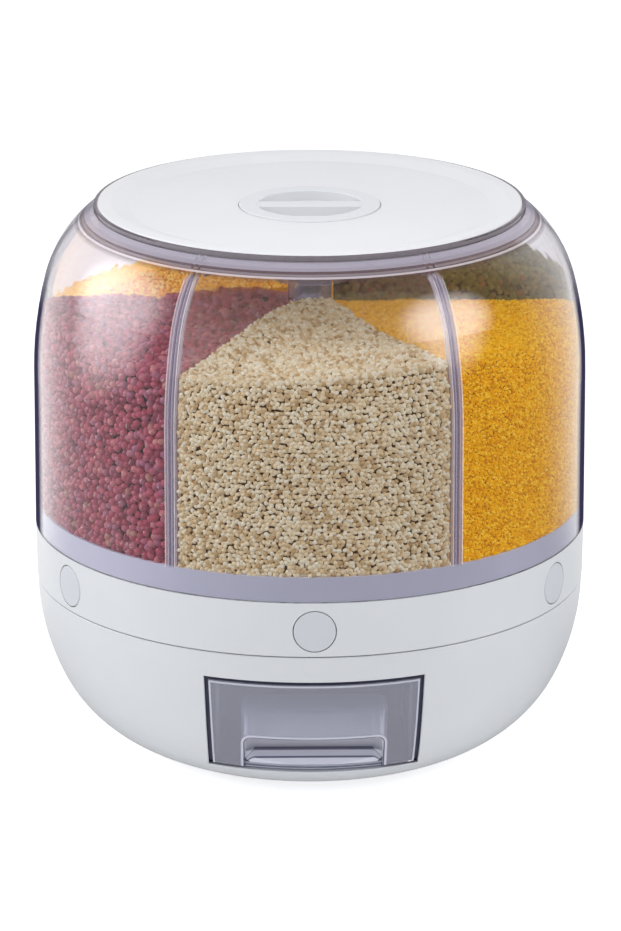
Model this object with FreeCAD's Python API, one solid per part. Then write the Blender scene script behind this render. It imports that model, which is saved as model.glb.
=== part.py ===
import FreeCAD, Part

import math
import os

# Rotating six-compartment grain dispenser with press buttons and a measuring drawer.
# Millimetres, +Z up. The origin is the centre of the footprint, on the surface under the feet.
# The drawer faces -Y. A bay is one sixth of the hopper. Bay 1 is at the front, above the drawer,
# and the others follow anticlockwise as seen from above.
# An inset is measured inwards from the widest radius.

Vector = FreeCAD.Vector

# Overall sizes
WIDEST_RADIUS = 165.0        # at the joint between the white ring and the clear shell
BOWL_HEIGHT = 102.6          # floor to the turning joint between base and ring
RING_HEIGHT = 33.0           # turning joint to the bottom of the clear shell
SHELL_HEIGHT = 191.2         # bottom of the clear shell to its mouth
BAYS = 6

# Clearances
SEAM_GAP = 0.6               # open line between the still bowl and the turning ring
SEAT_GAP = 0.3               # between pieces that are assembled by hand
SLIDE_GAP = 0.3              # between pieces that slide on each other
SHAFT_GAP = 0.06             # radial, pivot in its bush
BUTTON_GAP = 0.4             # fine groove round each button
BOND_GAP = 0.1               # glue line
BALL_PLAY = 0.4              # radial, ball in its grooves
HOLE_GAP = 0.15              # radial, screw in a plain hole

# Edges that show
EDGE_ROUND = 0.6
BUTTON_ROUND = 0.8
HOLE_ROUND = 0.4

# Base bowl
FOOT_PROUD = 3.0             # rubber below the bowl
BOWL_WALL = 2.6
BOWL_TOP_INSET = 0.8
BOWL_SIDE_RADIUS = 132.6     # upper arc of the outline
BOWL_SIDE_SWEEP = 26.5       # degrees
BOWL_FLAT_INSET = 60.8       # edge of the flat underside
FEET = 6
FOOT_RADIUS = 9.0
FOOT_CIRCLE_INSET = 79.0
FOOT_RECESS = 0.8
FOOT_CHAMFER = 0.8
LEDGE_INSET = 11.0           # inner edge of the ledge that carries the deck
LEDGE_HEIGHT = 2.5

# Base deck, pivot and ball race
DECK_THICKNESS = 2.5
DECK_INSET = 4.8
DECK_SCREW_INSET = 9.0
DECK_BOSS_RADIUS = 4.2
DECK_RIB_RADIUS = 60.0       # stiffening rib under the back half of the deck
DECK_RIB_WIDTH = 2.0
DECK_RIB_HEIGHT = 4.0
RACE_THICKNESS = 2.5
RACE_WIDTH = 13.0
RACE_INSET = 24.5            # circle of balls
RACE_OPEN = 3.3              # between the two race rings
RACE_BALL_RADIUS = 2.5
BALLS = 18
CAGE_THICKNESS = 1.6
CAGE_WIDTH = 8.0
PIVOT_RADIUS = 6.0
PIVOT_FLANGE_RADIUS = 13.0
PIVOT_FLANGE_HEIGHT = 3.0
PIVOT_STUB = 5.0             # pivot below the deck
PIVOT_TOP_DROP = 15.1        # top of the pivot under the floor tray
PIVOT_SCREW_LENGTH = 11.0
DECK_HUB_WALL = 5.0
DECK_HUB_DEPTH = 6.0
BUSH_WALL = 2.9
BUSH_COLLAR_INSET = 0.5
WASHER_THICKNESS = 1.2
WASHER_INSET = 0.5
HUB_WALL = 3.0
HUB_DROP = 1.5               # hub of the floor tray below the guide plate

# Opening and drawer
OPENING_BOTTOM = 20.0
OPENING_TOP_DROP = 5.3       # underside of the deck to the top of the opening
OPENING_TOP_WIDTH = 127.0
OPENING_BOTTOM_WIDTH = 122.2
PANEL_GAP = 2.4              # shadow line round the drawer front
DRAWER_MARGIN = 4.6          # side of the tray to the lower corner of the opening
DRAWER_BACK = 53.0           # outside of its back wall to the axis
DRAWER_WALL = 2.0
DRAWER_FLOOR = 23.5          # underside of the tray above the surface
DRAWER_HEADROOM = 4.2        # top of the tray below the top of the opening
DRAWER_CORNER = 5.0
NOTCH_WIDTH = 80.5           # pull notch in the lower edge of the front
NOTCH_TOP = 47.0
NOTCH_CORNER = 4.0
CUP_BACK_INSET = 34.5        # back of the finger cup
CUP_STEP = 4.0               # ledge low on the back of the cup
CUP_STEP_TOP = 35.0
CUP_TOP = 66.0
CUP_CORNER = 7.0
CUP_WALL = 1.8

# Drawer bay, hung under the deck
BAY_SIDE_GAP = 1.0
BAY_BACK_GAP = 2.0
BAY_WALL = 2.0
BAY_FLANGE_WIDTH = 12.5
BAY_FLANGE_THICKNESS = 2.5
LINING_OVERLAP = 4.0         # lining of the opening, past the opening's edge
LINING_GAP = 0.6             # drawer front to the lining
LINING_HEADROOM = 1.0        # top of the tray to the lining
BAY_SCREW_EDGE = 6.0         # screws to the edge and the front end of the flange
BAY_SCREW_BACK = 11.0        # rear screws to the back of the bay
BAY_SCREW_LENGTH = 7.5
BAY_BOSS_RADIUS = 3.5
BAY_BOSS_HEIGHT = 4.0
BAY_BOSS_GAP = 2.2           # bosses to the race
RAIL_HEIGHT = 1.7
RAIL_WIDTH = 3.0
RAIL_OFFSET = 46.0

# Discharge chute under the outlet of the front bay
CHUTE_WALL = 1.8
CHUTE_MARGIN = 5.0           # mouth beyond the outlet above it
CHUTE_TAPER = 3.0
CHUTE_FLANGE = 4.0
CHUTE_GAP = 1.0              # under the turning plate
CHUTE_DROP = 2.0             # lower end above the drawer

# Ring
RING_WALL = 2.7
RING_TAPER = 0.4             # the ring narrows this much towards its lower edge
RING_BEVEL = 0.4
WEB_HEIGHT = 2.5
TOP_WEB_WIDTH = 10.3
LOW_WEB_WIDTH = 12.3

# Floor tray and guide plate
TRAY_THICKNESS = 2.5
TRAY_RIM_WALL = 2.0
TRAY_RIM_HEIGHT = 14.7
TRAY_BOSS_INSET = 41.0
TRAY_BOSS_RADIUS = 4.2
PLATE_THICKNESS = 2.4
PLATE_INSET = 7.0
PLATE_DROP = 0.1             # plate below the lower edge of the ring
PLATE_HUB_GAP = 0.2
OUTLET_WIDTH = 36.0
OUTLET_LENGTH = 12.0
OUTLET_INSET = 67.0          # outer edge of the outlet
WINDOW_MARGIN = 0.5          # window in the guide plate beyond the outlet
FUNNEL_WALL = 2.4
FUNNEL_HALF_ANGLE = 24.0
FUNNEL_OUTER_INSET = 38.0
FUNNEL_INNER = 40.0          # radius of its inner edge
COLLAR_HEIGHT = 2.9          # straight part above the gate

# Gates, buttons and springs
GATE_THICKNESS = 2.4
GATE_WIDTH = 40.0
GATE_OVERLAP = 2.0           # shut gate past the outer edge of the outlet
GATE_TAIL = 4.0              # shut gate past the inner edge of the outlet
GATE_CORNER = 3.0
GATE_RAIL_WIDTH = 2.0
GATE_RAIL_END = 8.0          # end of the rails to the shut gate's outer end
BUTTON_LENGTH = 20.5
BUTTON_WALL = 2.3
BUTTON_FACE = 3.5
BUTTON_FLOOR_GAP = 0.8
BUTTON_ROOF_GAP = 0.2
SLEEVE_WALL = 1.8
SLEEVE_LENGTH = 12.0
TAB_THICKNESS = 3.0
TAB_WIDTH = 16.0
TAB_HEIGHT = 8.5             # above the button's centre
SPIGOT_LENGTH = 5.0
SPRING_WIRE = 0.9
SPRING_RADIUS = 3.6          # centre of the wire
SPRING_TURNS = 6
SPRING_END_GAP = 0.1
SPRING_SEAT_INSET = 51.0     # inner face of the fixed seat
SPRING_SEAT_THICKNESS = 2.4
SPRING_SEAT_WIDTH = 14.0
SPRING_SEAT_MARGIN = 1.4     # above the spring
SPRING_PIN_RADIUS = 2.7
SEAT_PIN_LENGTH = 4.0
PIN_END_GAP = 1.1            # between the two pins with the button fully pressed

# Clear shell, dividers and centre post
SHELL_WALL = 2.6
SHELL_DRAFT = 0.35           # degrees
SHOULDER_HEIGHT = 98.1       # top of the drafted wall to the mouth
SHOULDER_RADIUS = 226.0      # lower arc of the shoulder
SHOULDER_SWEEP = 14.6        # degrees
MOUTH_INSET = 37.4
NECK_WALL = 2.0
NECK_INSET = 5.3             # rim of the mouth to the bore of the neck
NECK_DEPTH = 11.8
RIM_HEIGHT = 2.8             # clear rim round the lid, above the mouth
RIM_GAP = 0.3                # rim to the lid
RIM_BEVEL = 0.5
RIB_WIDTH = 1.6
RIB_DEPTH = 3.0
RIB_GAP = 0.2
DIVIDER_THICKNESS = 2.2
DIVIDER_TOP_DROP = 9.3       # outer end of the divider's top edge below the mouth
DIVIDER_LID_DROP = 14.3      # the rest of its top edge below the mouth
DIVIDER_CHAMFER = 3.0
POST_RADIUS = 13.0
POST_WALL = 2.0
POST_CAP = 3.0
POST_ROUND = 4.0
POST_PLUG_RADIUS = 9.7

# Lid, seal, moisture box and knob
LID_LIP = 2.2                # edge of the mouth to the edge of the lid
LID_HEIGHT = 3.5             # lid above the mouth
LID_WALL = 2.2
LID_ROUND = 1.2
LID_DISH_DEPTH = 3.0
LID_BORDER = 8.0             # flat border
LID_SLOPE = 11.0             # slope between border and dish
SKIRT_WALL = 2.0
SKIRT_GAP = 1.0
SKIRT_DEPTH = 11.5
SEAL_HEIGHT = 3.0
SEAL_DROP = 5.6
SEAL_DEPTH = 1.0
SEAL_GAP = 0.05
SEAL_WAIST = 0.2
SEAL_LIP_SLOPE = 0.7
LINER_DROP = 8.8             # liner's top face below the mouth
LINER_THICKNESS = 2.0
KNOB_RADIUS = 41.8
KNOB_RISE = 0.9              # above the dish
KNOB_WALL = 2.0
KNOB_GAP = 0.4
KNOB_FLOOR = 1.6
KNOB_RECESS_RADIUS = 31.0
KNOB_RECESS_DEPTH = 6.2
KNOB_BAR_WIDTH = 12.0
KNOB_BAR_DROP = 0.3
BOX_RADIUS = 23.2
BOX_DEPTH = 34.0
BOX_WALL = 1.6
BOX_FLANGE = 3.3
BOX_GAP = 0.2
BOX_CLEARANCE = 7.0          # dividers and post below the box
SUMP_RADIUS = 14.0
SUMP_DEPTH = 13.0
VENTS = 6
VENT_RADIUS = 1.2
VENT_CIRCLE = 7.0
PLUG_GAP = 1.0
PLUG_DEPTH = 10.0
LUGS = 3
LUG_ANGLE = 22.0             # degrees
LUG_END_GAP = 2.0            # degrees
LUG_THICKNESS = 1.5
LUG_RISE = 4.0               # top of the fixed lugs above the plug's lower end

# Screws
SCREW_RADIUS = 1.5
SCREW_HEAD_RADIUS = 2.8
SCREW_HEAD_HEIGHT = 1.8
SCREW_LENGTH = 9.0
SCREW_SLOT_HALF_LENGTH = 1.7
SCREW_SLOT_HALF_WIDTH = 0.35
SCREW_SLOT_DEPTH = 1.1
SCREW_TIP_ROOM = 1.0         # left past the end of a screw

# Levels, from the floor up
SEAM_Z = BOWL_HEIGHT
BOWL_TOP_Z = SEAM_Z - SEAM_GAP / 2
RING_BOTTOM_Z = SEAM_Z + SEAM_GAP / 2
SHELL_Z = SEAM_Z + RING_HEIGHT
MOUTH_Z = SHELL_Z + SHELL_HEIGHT
PLATE_Z = RING_BOTTOM_Z - PLATE_DROP
PLATE_TOP_Z = PLATE_Z + PLATE_THICKNESS
UPPER_RACE_Z = PLATE_Z - RACE_THICKNESS
LOWER_RACE_TOP_Z = UPPER_RACE_Z - RACE_OPEN
DECK_TOP_Z = LOWER_RACE_TOP_Z - RACE_THICKNESS
DECK_Z = DECK_TOP_Z - DECK_THICKNESS
BALL_Z = (LOWER_RACE_TOP_Z + UPPER_RACE_Z) / 2
GATE_Z = PLATE_TOP_Z + SLIDE_GAP
GATE_TOP_Z = GATE_Z + GATE_THICKNESS
OUTLET_Z = GATE_TOP_Z + SLIDE_GAP
TRAY_Z = SHELL_Z - TRAY_THICKNESS
TRAY_RIM_Z = SHELL_Z + TRAY_RIM_HEIGHT
OPENING_TOP = DECK_Z - OPENING_TOP_DROP
DRAWER_TOP_Z = OPENING_TOP - DRAWER_HEADROOM
BAY_FLOOR_Z = DRAWER_FLOOR - SLIDE_GAP - RAIL_HEIGHT
CHUTE_TOP_Z = PLATE_Z - CHUTE_GAP
CHUTE_Z = DRAWER_TOP_Z + CHUTE_DROP
DISH_Z = MOUTH_Z + LID_HEIGHT - LID_DISH_DEPTH
LINER_TOP_Z = MOUTH_Z - LINER_DROP
BOX_TOP_Z = LINER_TOP_Z + BOX_WALL
BOX_Z = LINER_TOP_Z - BOX_DEPTH
SUMP_Z = BOX_Z - SUMP_DEPTH
POST_TOP_Z = SUMP_Z - BOX_CLEARANCE
PLUG_Z = BOX_TOP_Z - PLUG_DEPTH
LUG_TOP_Z = PLUG_Z + LUG_RISE
KNOB_TOP_Z = DISH_Z + KNOB_RISE
PIVOT_TOP_Z = TRAY_Z - PIVOT_TOP_DROP
HUB_Z = PLATE_Z - HUB_DROP
BUSH_Z = DECK_TOP_Z + PIVOT_FLANGE_HEIGHT + SLIDE_GAP

# Radii that pieces share
RACE_RADIUS = WIDEST_RADIUS - RACE_INSET
PLATE_RADIUS = WIDEST_RADIUS - PLATE_INSET
OUTLET_OUTER = WIDEST_RADIUS - OUTLET_INSET
OUTLET_INNER = OUTLET_OUTER - OUTLET_LENGTH
FUNNEL_OUTER = WIDEST_RADIUS - FUNNEL_OUTER_INSET
RING_INNER = WIDEST_RADIUS - RING_WALL
TRAY_OUTER = RING_INNER - SEAT_GAP
MOUTH_RADIUS = WIDEST_RADIUS - MOUTH_INSET
NECK_BORE = MOUTH_RADIUS - NECK_INSET
SKIRT_OUTER = NECK_BORE - SKIRT_GAP
TRAY_BOSS_CIRCLE = WIDEST_RADIUS - TRAY_BOSS_INSET
DECK_SCREW_CIRCLE = WIDEST_RADIUS - DECK_SCREW_INSET
HUB_BORE = PIVOT_RADIUS + BUSH_WALL + BOND_GAP
HUB_RADIUS = HUB_BORE + HUB_WALL
BOX_BORE = BOX_RADIUS - BOX_WALL
PLUG_RADIUS = BOX_BORE - PLUG_GAP

# A button fills the room between the guide plate and the ring's upper web
BUTTON_LOW_Z = PLATE_TOP_Z + BUTTON_FLOOR_GAP
BUTTON_HIGH_Z = TRAY_Z - WEB_HEIGHT - BUTTON_ROOF_GAP
BUTTON_RADIUS = (BUTTON_HIGH_Z - BUTTON_LOW_Z) / 2
BUTTON_Z = (BUTTON_HIGH_Z + BUTTON_LOW_Z) / 2
BUTTON_INNER = WIDEST_RADIUS - BUTTON_LENGTH
BUTTON_TRAVEL = OUTLET_LENGTH + GATE_OVERLAP
TAB_INNER = BUTTON_INNER - TAB_THICKNESS
SEAT_INNER = WIDEST_RADIUS - SPRING_SEAT_INSET
SEAT_OUTER = SEAT_INNER + SPRING_SEAT_THICKNESS
GATE_INNER = OUTLET_INNER - GATE_TAIL

# Plan sizes of the drawer and its bay
DRAWER_WIDTH = OPENING_BOTTOM_WIDTH - 2 * DRAWER_MARGIN
CUP_BACK = CUP_BACK_INSET - WIDEST_RADIUS
BAY_INNER = DRAWER_WIDTH / 2 + BAY_SIDE_GAP
BAY_BACK = BAY_BACK_GAP - DRAWER_BACK
BAY_FLANGE_OUTER = BAY_INNER + BAY_WALL + BAY_FLANGE_WIDTH
BAY_SCREW_X = BAY_FLANGE_OUTER - BAY_SCREW_EDGE
BAY_SCREW_REACH = RACE_RADIUS - RACE_WIDTH / 2 - BAY_BOSS_RADIUS - BAY_BOSS_GAP
BAY_SCREW_FRONT = -math.sqrt(BAY_SCREW_REACH**2 - BAY_SCREW_X**2)
BAY_SCREW_REAR = BAY_BACK - BAY_SCREW_BACK

BAY_ANGLES = [360 / BAYS * k - 90 for k in range(BAYS)]
DIVIDER_ANGLES = [angle + 180 / BAYS for angle in BAY_ANGLES]
BALL_ANGLES = [360 / BALLS * k for k in range(BALLS)]
CUT = 1.0                    # cutters and hidden joints run this far past a face


# Basic shapes

def box(x0, x1, y0, y1, z0, z1):
    return Part.makeBox(x1 - x0, y1 - y0, z1 - z0, Vector(x0, y0, z0))


def post(radius, z0, z1, x=0.0, y=0.0):
    return Part.makeCylinder(radius, z1 - z0, Vector(x, y, z0))


def tube(bore, radius, z0, z1):
    return post(radius, z0, z1).cut(post(bore, z0 - CUT, z1 + CUT))


def radial_rod(radius, x0, x1, z):
    """A rod along the local X axis, which points outwards in a bay."""
    return Part.makeCylinder(radius, x1 - x0, Vector(x0, 0, z), Vector(1, 0, 0))


def prism(corners, way):
    """A flat outline of corner points, pushed along way."""
    return Part.Face(Part.makePolygon(corners + corners[:1])).extrude(way)


def turned(points):
    """A solid turned about Z from a closed outline of (radius, height) corners."""
    corners = [Vector(r, 0, z) for r, z in points]
    face = Part.Face(Part.makePolygon(corners + corners[:1]))
    return face.revolve(Vector(0, 0, 0), Vector(0, 0, 1), 360)


def ruled(lower, z0, upper, z1):
    """A straight-sided solid between two level outlines with as many corners."""
    wires = []
    for corners, z in ((lower, z0), (upper, z1)):
        points = [Vector(x, y, z) for x, y in corners]
        wires.append(Part.makePolygon(points + points[:1]))
    return Part.makeLoft(wires, True, True)


def sector(shape, start, angle):
    """The part of a shape that lies within an angle about Z, in degrees."""
    reach = 2 * WIDEST_RADIUS
    extent = shape.BoundBox
    low = extent.ZMin - CUT
    corners = [Vector(0, 0, low)]
    for degrees in (start, start + angle / 2, start + angle):
        turn = math.radians(degrees)
        corners.append(Vector(reach * math.cos(turn), reach * math.sin(turn), low))
    return shape.common(prism(corners, Vector(0, 0, extent.ZLength + 2 * CUT)))


def spun(shape, degrees):
    copy = shape.copy()
    copy.rotate(Vector(0, 0, 0), Vector(0, 0, 1), degrees)
    return copy


def around(shape, angles):
    return [spun(shape, angle) for angle in angles]


def ring_places(radius, angles):
    turns = [math.radians(angle) for angle in angles]
    return [(radius * math.cos(turn), radius * math.sin(turn)) for turn in turns]


def joined(first, others):
    return first.fuse(list(others)).removeSplitter()


def without(shape, cutters):
    return shape.cut(list(cutters))


def upright_edges(shape):
    return [edge for edge in shape.Edges if edge.BoundBox.DiagonalLength < edge.BoundBox.ZLength + 0.01]


def write(node, shape):
    solids = shape.Solids
    body = solids[0] if len(solids) == 1 else Part.makeCompound(solids)
    if not body.isValid():
        print("not valid:", node)
    body.exportStep("parts/" + node + ".step")
    print(node, len(solids), "solid(s),", round(body.Volume / 1000, 2), "cm3")


# Outlines of the bowl and the shell: two tangent arcs each

def two_arcs(start, lean, radius, sweep, end, way):
    """Arcs from start to end as (centre r, centre z, radius, first, last), angles in degrees
    from the horizontal. way is 1 where the outline climbs and -1 where it drops."""
    first = math.radians(lean)
    turn = math.radians(sweep)
    centre_r = start[0] - radius * math.cos(first)
    centre_z = start[1] - way * radius * math.sin(first)
    out_r = math.cos(turn)
    out_z = way * math.sin(turn)
    to_r = end[0] - centre_r
    to_z = end[1] - centre_z
    along = to_r * out_r + to_z * out_z
    second = (2 * radius * along - to_r**2 - to_z**2 - radius**2) / (2 * (along - radius))
    next_r = centre_r + (radius - second) * out_r
    next_z = centre_z + (radius - second) * out_z
    last = math.degrees(math.atan2(way * (end[1] - next_z), end[0] - next_r))
    return [(centre_r, centre_z, radius, lean, sweep), (next_r, next_z, second, sweep, last)]


def arc_point(arc, inset, way, degrees):
    angle = math.radians(degrees)
    reach = arc[2] - inset
    return Vector(arc[0] + reach * math.cos(angle), 0, arc[1] + way * reach * math.sin(angle))


def arc_edges(arcs, inset, way):
    edges = []
    for arc in arcs:
        places = (arc[3], (arc[3] + arc[4]) / 2, arc[4])
        edges.append(Part.Arc(*[arc_point(arc, inset, way, a) for a in places]).toShape())
    return edges


def filled_outline(foot, arcs, inset, way):
    """The solid between the axis and an outline, drawn inset from the real surface."""
    edges = []
    start = arc_point(arcs[0], inset, way, arcs[0][3])
    low = start
    if abs(foot[1] - start.z) > 0.01:
        low = Vector(foot[0] - inset, 0, foot[1])
        edges.append(Part.makeLine(low, start))
    edges += arc_edges(arcs, inset, way)
    end = arc_point(arcs[1], inset, way, arcs[1][4])
    top = Vector(0, 0, end.z)
    base = Vector(0, 0, low.z)
    edges += [Part.makeLine(end, top), Part.makeLine(top, base), Part.makeLine(base, low)]
    return Part.Face(Part.Wire(edges)).revolve(Vector(0, 0, 0), Vector(0, 0, 1), 360)


def shell_body(inset):
    straight = SHELL_HEIGHT - SHOULDER_HEIGHT
    lean = straight * math.tan(math.radians(SHELL_DRAFT))
    top_of_wall = (WIDEST_RADIUS - lean, SHELL_Z + straight)
    arcs = two_arcs(top_of_wall, SHELL_DRAFT, SHOULDER_RADIUS, SHOULDER_SWEEP,
                    (MOUTH_RADIUS, MOUTH_Z), 1)
    return filled_outline((WIDEST_RADIUS, SHELL_Z), arcs, inset, 1)


def bowl_body(inset):
    rim = (WIDEST_RADIUS - BOWL_TOP_INSET, BOWL_TOP_Z)
    arcs = two_arcs(rim, 0, BOWL_SIDE_RADIUS, BOWL_SIDE_SWEEP,
                    (WIDEST_RADIUS - BOWL_FLAT_INSET, FOOT_PROUD), -1)
    return filled_outline(rim, arcs, inset, -1)


def outer_edges(shape, inner, wall):
    """The edges of a shape that lie a wall's thickness out from the inner body."""
    found = []
    for edge in shape.Edges:
        middle = edge.valueAt((edge.FirstParameter + edge.LastParameter) / 2)
        if Part.Vertex(middle).distToShape(inner)[0] > wall - 0.02:
            found.append(edge)
    return found


# Screws

def screw(x, y, seat, length, way):
    """A pan-head screw whose head sits on the level face at seat. way is -1 for a shank that
    points down and 1 for one that points up."""
    place = Vector(x, y, seat)
    head = Part.makeCylinder(SCREW_HEAD_RADIUS, SCREW_HEAD_HEIGHT, place, Vector(0, 0, -way))
    shank = Part.makeCylinder(SCREW_RADIUS, length, place, Vector(0, 0, way))
    top = seat - way * SCREW_HEAD_HEIGHT
    low, high = sorted((top, top + way * SCREW_SLOT_DEPTH))
    long = SCREW_SLOT_HALF_LENGTH
    short = SCREW_SLOT_HALF_WIDTH
    slots = [box(x - long, x + long, y - short, y + short, low, high),
             box(x - short, x + short, y - long, y + long, low, high)]
    return without(head.fuse(shank), slots)


# Base

def deck_screw_places():
    return ring_places(DECK_SCREW_CIRCLE, DIVIDER_ANGLES)


def bay_screw_places():
    return [(x, y) for x in (-BAY_SCREW_X, BAY_SCREW_X) for y in (BAY_SCREW_REAR, BAY_SCREW_FRONT)]


def opening_prism(margin):
    """The drawer opening, smaller by margin all round, from outside the bowl to half way in."""
    low = OPENING_BOTTOM + margin
    high = OPENING_TOP - margin
    half_low = OPENING_BOTTOM_WIDTH / 2 - margin
    half_high = OPENING_TOP_WIDTH / 2 - margin
    start = -WIDEST_RADIUS - CUT
    corners = [Vector(-half_low, start, low), Vector(half_low, start, low),
               Vector(half_high, start, high), Vector(-half_high, start, high)]
    return prism(corners, Vector(0, WIDEST_RADIUS / 2, 0))


def base_bowl():
    inside = bowl_body(BOWL_WALL)
    wall = bowl_body(0).cut(inside)
    ledge = tube(WIDEST_RADIUS - LEDGE_INSET, WIDEST_RADIUS, DECK_Z - LEDGE_HEIGHT, DECK_Z)
    additions = [ledge.common(inside)]
    for x, y in deck_screw_places():
        boss = post(DECK_BOSS_RADIUS, DECK_Z - SCREW_LENGTH - 2 * SCREW_TIP_ROOM, DECK_Z, x, y)
        additions.append(boss.common(inside))
    bowl = joined(wall, additions)
    cutters = [opening_prism(0)]
    for x, y in deck_screw_places():
        cutters.append(post(SCREW_RADIUS, DECK_Z - SCREW_LENGTH, DECK_Z + CUT, x, y))
    for x, y in foot_places():
        top = FOOT_PROUD + FOOT_RECESS
        cutters.append(post(FOOT_RADIUS + BOND_GAP, FOOT_PROUD - CUT, top, x, y))
    bowl = without(bowl, cutters)
    shown = [edge for edge in outer_edges(bowl, inside, BOWL_WALL)
             if edge.BoundBox.ZMin > OPENING_BOTTOM - 1 and edge.Length > 1]
    return bowl.makeFillet(EDGE_ROUND, shown)


def foot_places():
    angles = [360 / FEET * k for k in range(FEET)]
    return ring_places(WIDEST_RADIUS - FOOT_CIRCLE_INSET, angles)


def foot_pads():
    pads = []
    for x, y in foot_places():
        pad = post(FOOT_RADIUS, 0, FOOT_PROUD + FOOT_RECESS, x, y)
        lowest = [edge for edge in pad.Edges if edge.BoundBox.ZMax < 0.01]
        pads.append(pad.makeChamfer(FOOT_CHAMFER, lowest))
    return Part.makeCompound(pads)


def base_deck():
    disc = post(WIDEST_RADIUS - DECK_INSET, DECK_Z, DECK_TOP_Z)
    hub = post(PIVOT_RADIUS + DECK_HUB_WALL, DECK_Z - DECK_HUB_DEPTH, DECK_Z)
    reach = DECK_RIB_RADIUS + DECK_RIB_WIDTH
    rib_z = DECK_Z - DECK_RIB_HEIGHT
    rib = tube(DECK_RIB_RADIUS, reach, rib_z, DECK_Z).common(box(-reach, reach, 0, reach, rib_z, DECK_Z))
    bosses = [post(BAY_BOSS_RADIUS, DECK_TOP_Z, DECK_TOP_Z + BAY_BOSS_HEIGHT, x, y)
              for x, y in bay_screw_places()]
    deck = joined(disc, [hub, rib] + bosses)
    cutters = [post(PIVOT_RADIUS + BOND_GAP, DECK_Z - DECK_HUB_DEPTH - CUT, DECK_TOP_Z + CUT)]
    cutters.append(chute_outline(-CHUTE_WALL - SEAT_GAP, DECK_Z - CUT, DECK_TOP_Z + CUT))
    cutters += [post(SCREW_RADIUS + HOLE_GAP, DECK_Z - CUT, DECK_TOP_Z + CUT, x, y)
                for x, y in deck_screw_places()]
    hole_top = DECK_TOP_Z + BAY_BOSS_HEIGHT - SCREW_TIP_ROOM
    cutters += [post(SCREW_RADIUS, DECK_Z - CUT, hole_top, x, y) for x, y in bay_screw_places()]
    return without(deck, cutters)


def deck_screws():
    screws = [screw(x, y, DECK_TOP_Z, SCREW_LENGTH, -1) for x, y in deck_screw_places()]
    return Part.makeCompound(screws)


def opening_lining():
    """A band behind the edge of the drawer opening, which hides the inside of the bowl."""
    near = BOWL_WALL + LINING_GAP
    band = bowl_body(near).cut(bowl_body(near + BAY_WALL)).common(opening_prism(-LINING_OVERLAP))
    way = box(-BAY_INNER, BAY_INNER, -WIDEST_RADIUS, 0, BAY_FLOOR_Z, DRAWER_TOP_Z + LINING_HEADROOM)
    return band.cut(way)


def drawer_bay():
    outer = BAY_INNER + BAY_WALL
    front = -WIDEST_RADIUS
    back = BAY_BACK + BAY_WALL
    flange_z = DECK_Z - BAY_FLANGE_THICKNESS
    walls = box(-outer, outer, front, back, BAY_FLOOR_Z - BAY_WALL, DECK_Z)
    hollow = box(-BAY_INNER, BAY_INNER, front - CUT, BAY_BACK, BAY_FLOOR_Z, DECK_Z + CUT)
    additions = [opening_lining()]
    for side in (-1, 1):
        near, far = sorted((side * (outer - CUT), side * BAY_FLANGE_OUTER))
        additions.append(box(near, far, BAY_SCREW_FRONT - BAY_SCREW_EDGE, back, flange_z, DECK_Z))
        rail = side * RAIL_OFFSET
        additions.append(box(rail - RAIL_WIDTH / 2, rail + RAIL_WIDTH / 2, front, BAY_BACK,
                             BAY_FLOOR_Z - CUT, BAY_FLOOR_Z + RAIL_HEIGHT))
    bay = joined(walls.cut(hollow), additions).common(bowl_body(BOWL_WALL + SEAT_GAP))
    # Room for the ledge and the bosses that carry the deck
    cutters = [tube(WIDEST_RADIUS - LEDGE_INSET - SEAT_GAP, WIDEST_RADIUS,
                    DECK_Z - LEDGE_HEIGHT - SEAT_GAP, DECK_Z + CUT)]
    boss_z = DECK_Z - SCREW_LENGTH - 2 * SCREW_TIP_ROOM - SEAT_GAP
    cutters += [post(DECK_BOSS_RADIUS + SEAT_GAP, boss_z, DECK_Z + CUT, x, y)
                for x, y in deck_screw_places()]
    cutters += [post(SCREW_RADIUS + HOLE_GAP, flange_z - CUT, DECK_Z + CUT, x, y)
                for x, y in bay_screw_places()]
    return without(bay, cutters)


def bay_screws():
    seat = DECK_Z - BAY_FLANGE_THICKNESS
    screws = [screw(x, y, seat, BAY_SCREW_LENGTH, 1) for x, y in bay_screw_places()]
    return Part.makeCompound(screws)


def chute_outline(margin, z0, z1):
    """The chute's bore, smaller by margin all round, tapering down the whole chute."""
    middle = -(OUTLET_INNER + OUTLET_OUTER) / 2
    half_x = OUTLET_WIDTH / 2 + CHUTE_MARGIN
    half_y = OUTLET_LENGTH / 2 + CHUTE_MARGIN

    def corners(z):
        shrink = margin + CHUTE_TAPER * (CHUTE_TOP_Z - z) / (CHUTE_TOP_Z - CHUTE_Z)
        x = half_x - shrink
        y = half_y - shrink
        return [(-x, middle - y), (x, middle - y), (x, middle + y), (-x, middle + y)]

    return ruled(corners(z0), z0, corners(z1), z1)


def discharge_chute():
    outside = chute_outline(-CHUTE_WALL, CHUTE_Z, CHUTE_TOP_Z)
    flange = chute_outline(-CHUTE_WALL - CHUTE_FLANGE, DECK_TOP_Z, DECK_TOP_Z + CHUTE_WALL)
    bore = chute_outline(0, CHUTE_Z - CUT, CHUTE_TOP_Z + CUT)
    return outside.fuse(flange).cut(bore)


def race_ring(z0, z1):
    ring = tube(RACE_RADIUS - RACE_WIDTH / 2, RACE_RADIUS + RACE_WIDTH / 2, z0, z1)
    groove = Part.makeTorus(RACE_RADIUS, RACE_BALL_RADIUS + BALL_PLAY, Vector(0, 0, BALL_Z))
    return ring.cut(groove)


def lower_race():
    return race_ring(DECK_TOP_Z, LOWER_RACE_TOP_Z)


def upper_race():
    return race_ring(UPPER_RACE_Z, PLATE_Z)


def race_balls():
    places = ring_places(RACE_RADIUS, BALL_ANGLES)
    return Part.makeCompound([Part.makeSphere(RACE_BALL_RADIUS, Vector(x, y, BALL_Z)) for x, y in places])


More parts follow.
